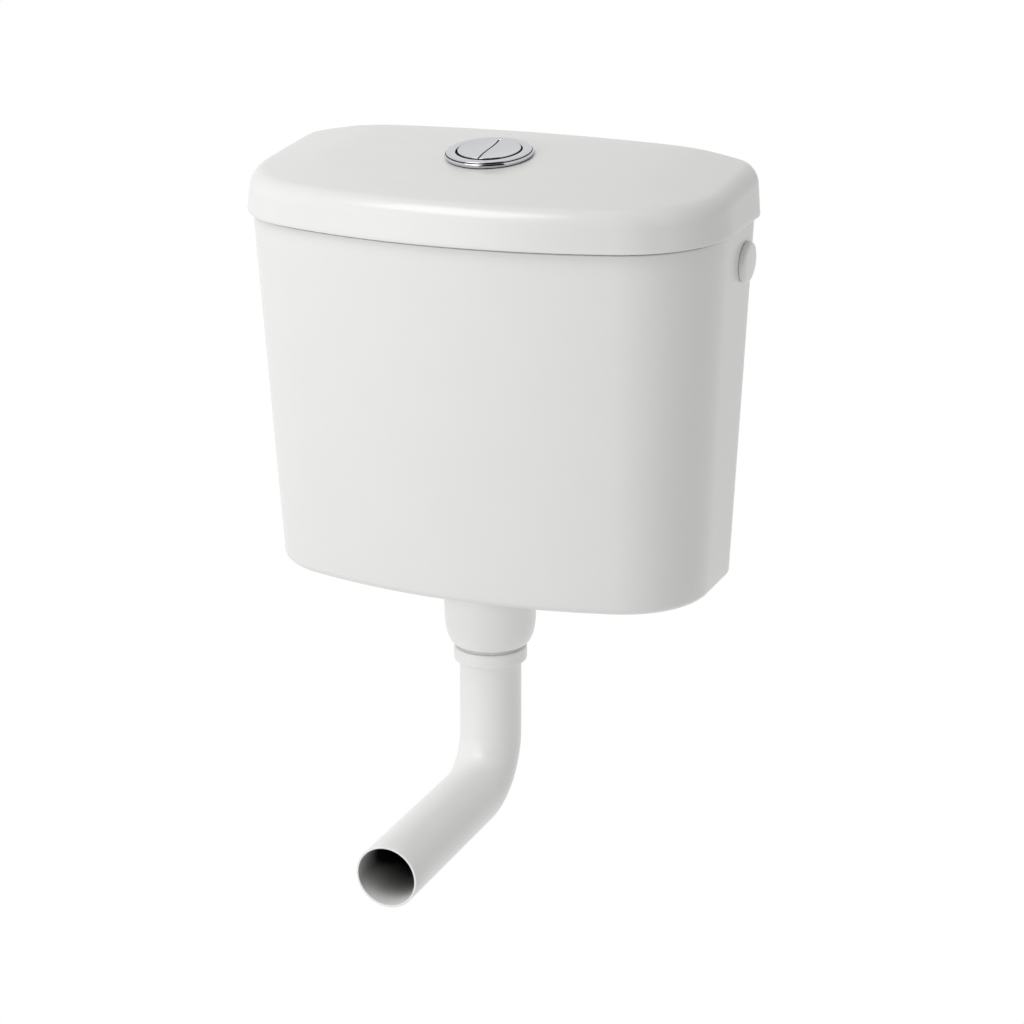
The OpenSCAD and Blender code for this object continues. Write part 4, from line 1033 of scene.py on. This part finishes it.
class CISTERN_OT_inner(bpy.types.Operator):
    """Builds the moulded pieces of the two valves from their CAD nodes, with rounded edges"""
    bl_idname = "cistern.inner"
    bl_label = "Inner pieces"

    def execute(self, context):
        for name, node in frame["nodes"].items():
            if node.hide_render:
                continue
            if name in ("lever_pin", "arm_pin"):
                slot = "spring_steel"
            elif name.endswith(("seal", "washer")):
                slot = "seal_rubber"
            elif name in ("half_lever", "full_lever", "tube_lift_yoke", "float_arm", "valve_plunger"):
                slot = "lever_acetal"
            else:
                slot = "valve_abs"
            piece = add_piece(context, softened(node, 0.4 * MM), f"{name}_moulding", node["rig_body"], slot,
                              [name], sharp=40)
            if name == "fill_valve_body":
                self.cut_thread(context, piece)
            flat = piece.modifiers.new("Flat faces stay flat", "WEIGHTED_NORMAL")
            flat.keep_sharp = True
        return {"FINISHED"}

    def cut_thread(self, context, piece):
        """Turns the inlet's free end down to the root and winds the thread round it."""
        size = context.scene.cistern_inlets
        place = inlet_place(context, True)
        low, high, root = size.thread_foot, size.thread_end, size.thread_r - size.thread_deep
        clear, past = root + 3 * MM, high + 2 * MM
        cutters = bmesh.new()
        turned(cutters, [(root, low), (clear, low), (clear, past), (root, past)], place, 64)
        drill(piece, cutters, 40)

        def ring(r_at, along):
            points = []
            for turn in (j / 48 for j in range(48)):
                r, a = r_at(turn), math.tau * turn
                points.append(place @ Vector((r * math.cos(a), r * math.sin(a), along)))
            return points

        steps = 8 * round((high - low) / size.pitch)
        rings = []
        for i in range(steps + 1):
            along = low + (high - low) * i / steps
            runout = max(0.0, min(1.0, (high - along) / size.pitch, (along - low) / size.pitch))
            rings.append(ring(lambda turn: root + size.thread_deep * runout
                              * abs(2 * ((along / size.pitch - turn) % 1) - 1), along))
        rings += [ring(lambda turn: root - 0.2 * MM, along) for along in (high, low)]
        bm = bmesh.new()
        skin_through(bm, rings)
        add_piece(context, bm, "inlet_thread", "tank", "valve_abs", ["fill_valve_body"], sharp=25)


# Studio, with shader strengths, places in metres, watts, and the flag's angles in degrees

WORLD_LIGHT, FLOOR_LIGHT, FLOOR_Z, FLOOR_REACH = 0.42, 0.72, -0.95, 12
LAMP_AIM = (0, -0.09, -0.1)
KEY_PLACE, KEY_SIZE, KEY_WATTS = (-0.78, -1.3, 1.95), 1.3, 22.2
FILL_PLACE, FILL_SIZE, FILL_WATTS = (-1.25, -2.3, 0.25), 1.6, 20
FLAG_R, FLAG_LOW, FLAG_HIGH, FLAG_START, FLAG_SWEEP = 2.6, -5, 80, -94, 64
CAMERA_PLACE, CAMERA_AIM = (0.7717, -1.8966, 0.4440), (0.01758, -0.075, -0.19818)
CAMERA_LENS, CAMERA_SENSOR = 91.63, 36


class CISTERN_OT_studio(bpy.types.Operator):
    """Sets up the floor, the soft light and the camera at the photograph's angle"""
    bl_idname = "cistern.studio"
    bl_label = "Studio"

    def execute(self, context):
        scene = context.scene
        scene.view_settings.view_transform = "Standard"
        world = bpy.data.worlds.new("soft_white_studio")
        scene.world = world
        world.use_nodes = True
        tree = world.node_tree
        tree.nodes.clear()
        add_node(tree, "ShaderNodeOutputWorld", inputs={
            "Surface": self.white_for_viewer(tree, "ShaderNodeBackground", WORLD_LIGHT)})
        # A floor that glows white from above and lets a view from below through
        floor_finish, tree, _ = new_finish("lit_white_floor")
        close_finish(tree, add_node(tree, "ShaderNodeMixShader", inputs={
            0: add_node(tree, "ShaderNodeNewGeometry").outputs["Backfacing"],
            1: self.white_for_viewer(tree, "ShaderNodeEmission", FLOOR_LIGHT),
            2: add_node(tree, "ShaderNodeBsdfTransparent").outputs[0]}))
        bm = bmesh.new()
        bmesh.ops.create_grid(bm, x_segments=1, y_segments=1, size=FLOOR_REACH,
                              matrix=Matrix.Translation((0, 0, FLOOR_Z)))
        self.stage_object("studio_floor", bm, floor_finish)
        self.lamp("key_softbox", KEY_PLACE, KEY_SIZE, KEY_WATTS)
        self.lamp("left_softbox", FILL_PLACE, FILL_SIZE, FILL_WATTS).visible_glossy = False
        # A black curved card that only the chrome's reflections show
        card, tree, _ = new_finish("black_flag")
        close_finish(tree, add_node(tree, "ShaderNodeBsdfDiffuse", inputs={"Color": (0.01, 0.01, 0.01, 1)}))
        bm = bmesh.new()
        seat = seat_place(context).translation
        rise = [seat + Matrix.Rotation(math.radians(FLAG_START), 4, "Z") @ Vector((x, 0, z))
                for x, z in arc(0, 0, FLAG_R, FLAG_LOW, FLAG_HIGH, 12)]
        verts = [bm.verts.new(point) for point in rise]
        edges = [bm.edges.new(pair) for pair in zip(verts, verts[1:])]
        bmesh.ops.spin(bm, geom=verts + edges, cent=seat, axis=(0, 0, 1), angle=math.radians(FLAG_SWEEP),
                       steps=16)
        flag = self.stage_object("black_flag", bm, card)
        flag.visible_camera = flag.visible_diffuse = flag.visible_shadow = False
        data = bpy.data.cameras.new("photo_camera")
        data.lens, data.sensor_width, data.sensor_fit = CAMERA_LENS, CAMERA_SENSOR, "AUTO"
        scene.camera = self.pointed("photo_camera", data, CAMERA_PLACE, CAMERA_AIM)
        return {"FINISHED"}

    def white_for_viewer(self, tree, kind, strength):
        """White of full strength to the camera and in reflections, and of the given strength as a light."""
        rays = add_node(tree, "ShaderNodeLightPath").outputs
        seen = rays["Is Camera Ray"]
        for ray in ("Is Glossy Ray", "Is Transmission Ray"):
            either = add_node(tree, "ShaderNodeMath", {"operation": "MAXIMUM"}, {0: seen, 1: rays[ray]})
            seen = either.outputs[0]
        lit, white = (add_node(tree, kind, inputs={"Color": WHITE, "Strength": level}).outputs[0]
                      for level in (strength, 1.0))
        return add_node(tree, "ShaderNodeMixShader", inputs={0: seen, 1: lit, 2: white}).outputs[0]

    def stage_object(self, name, bm, material):
        """A piece of the stage, which is no part of the cistern."""
        mesh = bpy.data.meshes.new(name)
        bm.to_mesh(mesh)
        bm.free()
        mesh.materials.append(material)
        thing = bpy.data.objects.new(name, mesh)
        bpy.context.collection.objects.link(thing)
        return thing

    def pointed(self, name, data, place, target):
        """A camera or lamp at the place, turned to the target."""
        thing = bpy.data.objects.new(name, data)
        thing.location = place
        aim = Vector(target) - thing.location
        thing.rotation_euler = aim.to_track_quat("-Z", "Y").to_euler()
        bpy.context.collection.objects.link(thing)
        return thing

    def lamp(self, name, place, size, watts):
        """A square softbox turned to the cistern."""
        data = bpy.data.lights.new(name, "AREA")
        data.size, data.energy = size, watts
        return self.pointed(name, data, place, LAMP_AIM)


OPERATORS = [CISTERN_OT_studio, CISTERN_OT_tank, CISTERN_OT_lid, CISTERN_OT_bezel, CISTERN_OT_buttons,
             CISTERN_OT_springs, CISTERN_OT_outlet, CISTERN_OT_plug, CISTERN_OT_inner]


class CISTERN_PT_sidebar(bpy.types.Panel):
    """Lists the steps that build the cistern"""
    bl_idname = "CISTERN_PT_sidebar"
    bl_label = "Cistern"
    bl_space_type = "VIEW_3D"
    bl_region_type = "UI"
    bl_category = "Cistern"

    def draw(self, context):
        for operator in OPERATORS:
            self.layout.operator(operator.bl_idname)


CLASSES = [*SETTINGS.values(), *OPERATORS, CISTERN_PT_sidebar]


def register():
    for cls in CLASSES:
        bpy.utils.register_class(cls)
    for name, cls in SETTINGS.items():
        setattr(bpy.types.Scene, name, bpy.props.PointerProperty(type=cls))


def unregister():
    for name in SETTINGS:
        delattr(bpy.types.Scene, name)
    for cls in reversed(CLASSES):
        bpy.utils.unregister_class(cls)


def main():
    register()
    bpy.ops.cistern.studio()
    bpy.ops.cistern.tank()
    bpy.ops.cistern.lid()
    bpy.ops.cistern.bezel()
    bpy.ops.cistern.buttons()
    bpy.ops.cistern.springs()
    bpy.ops.cistern.outlet()
    bpy.ops.cistern.plug()
    bpy.ops.cistern.inner()


if __name__ == "__main__":
    main()
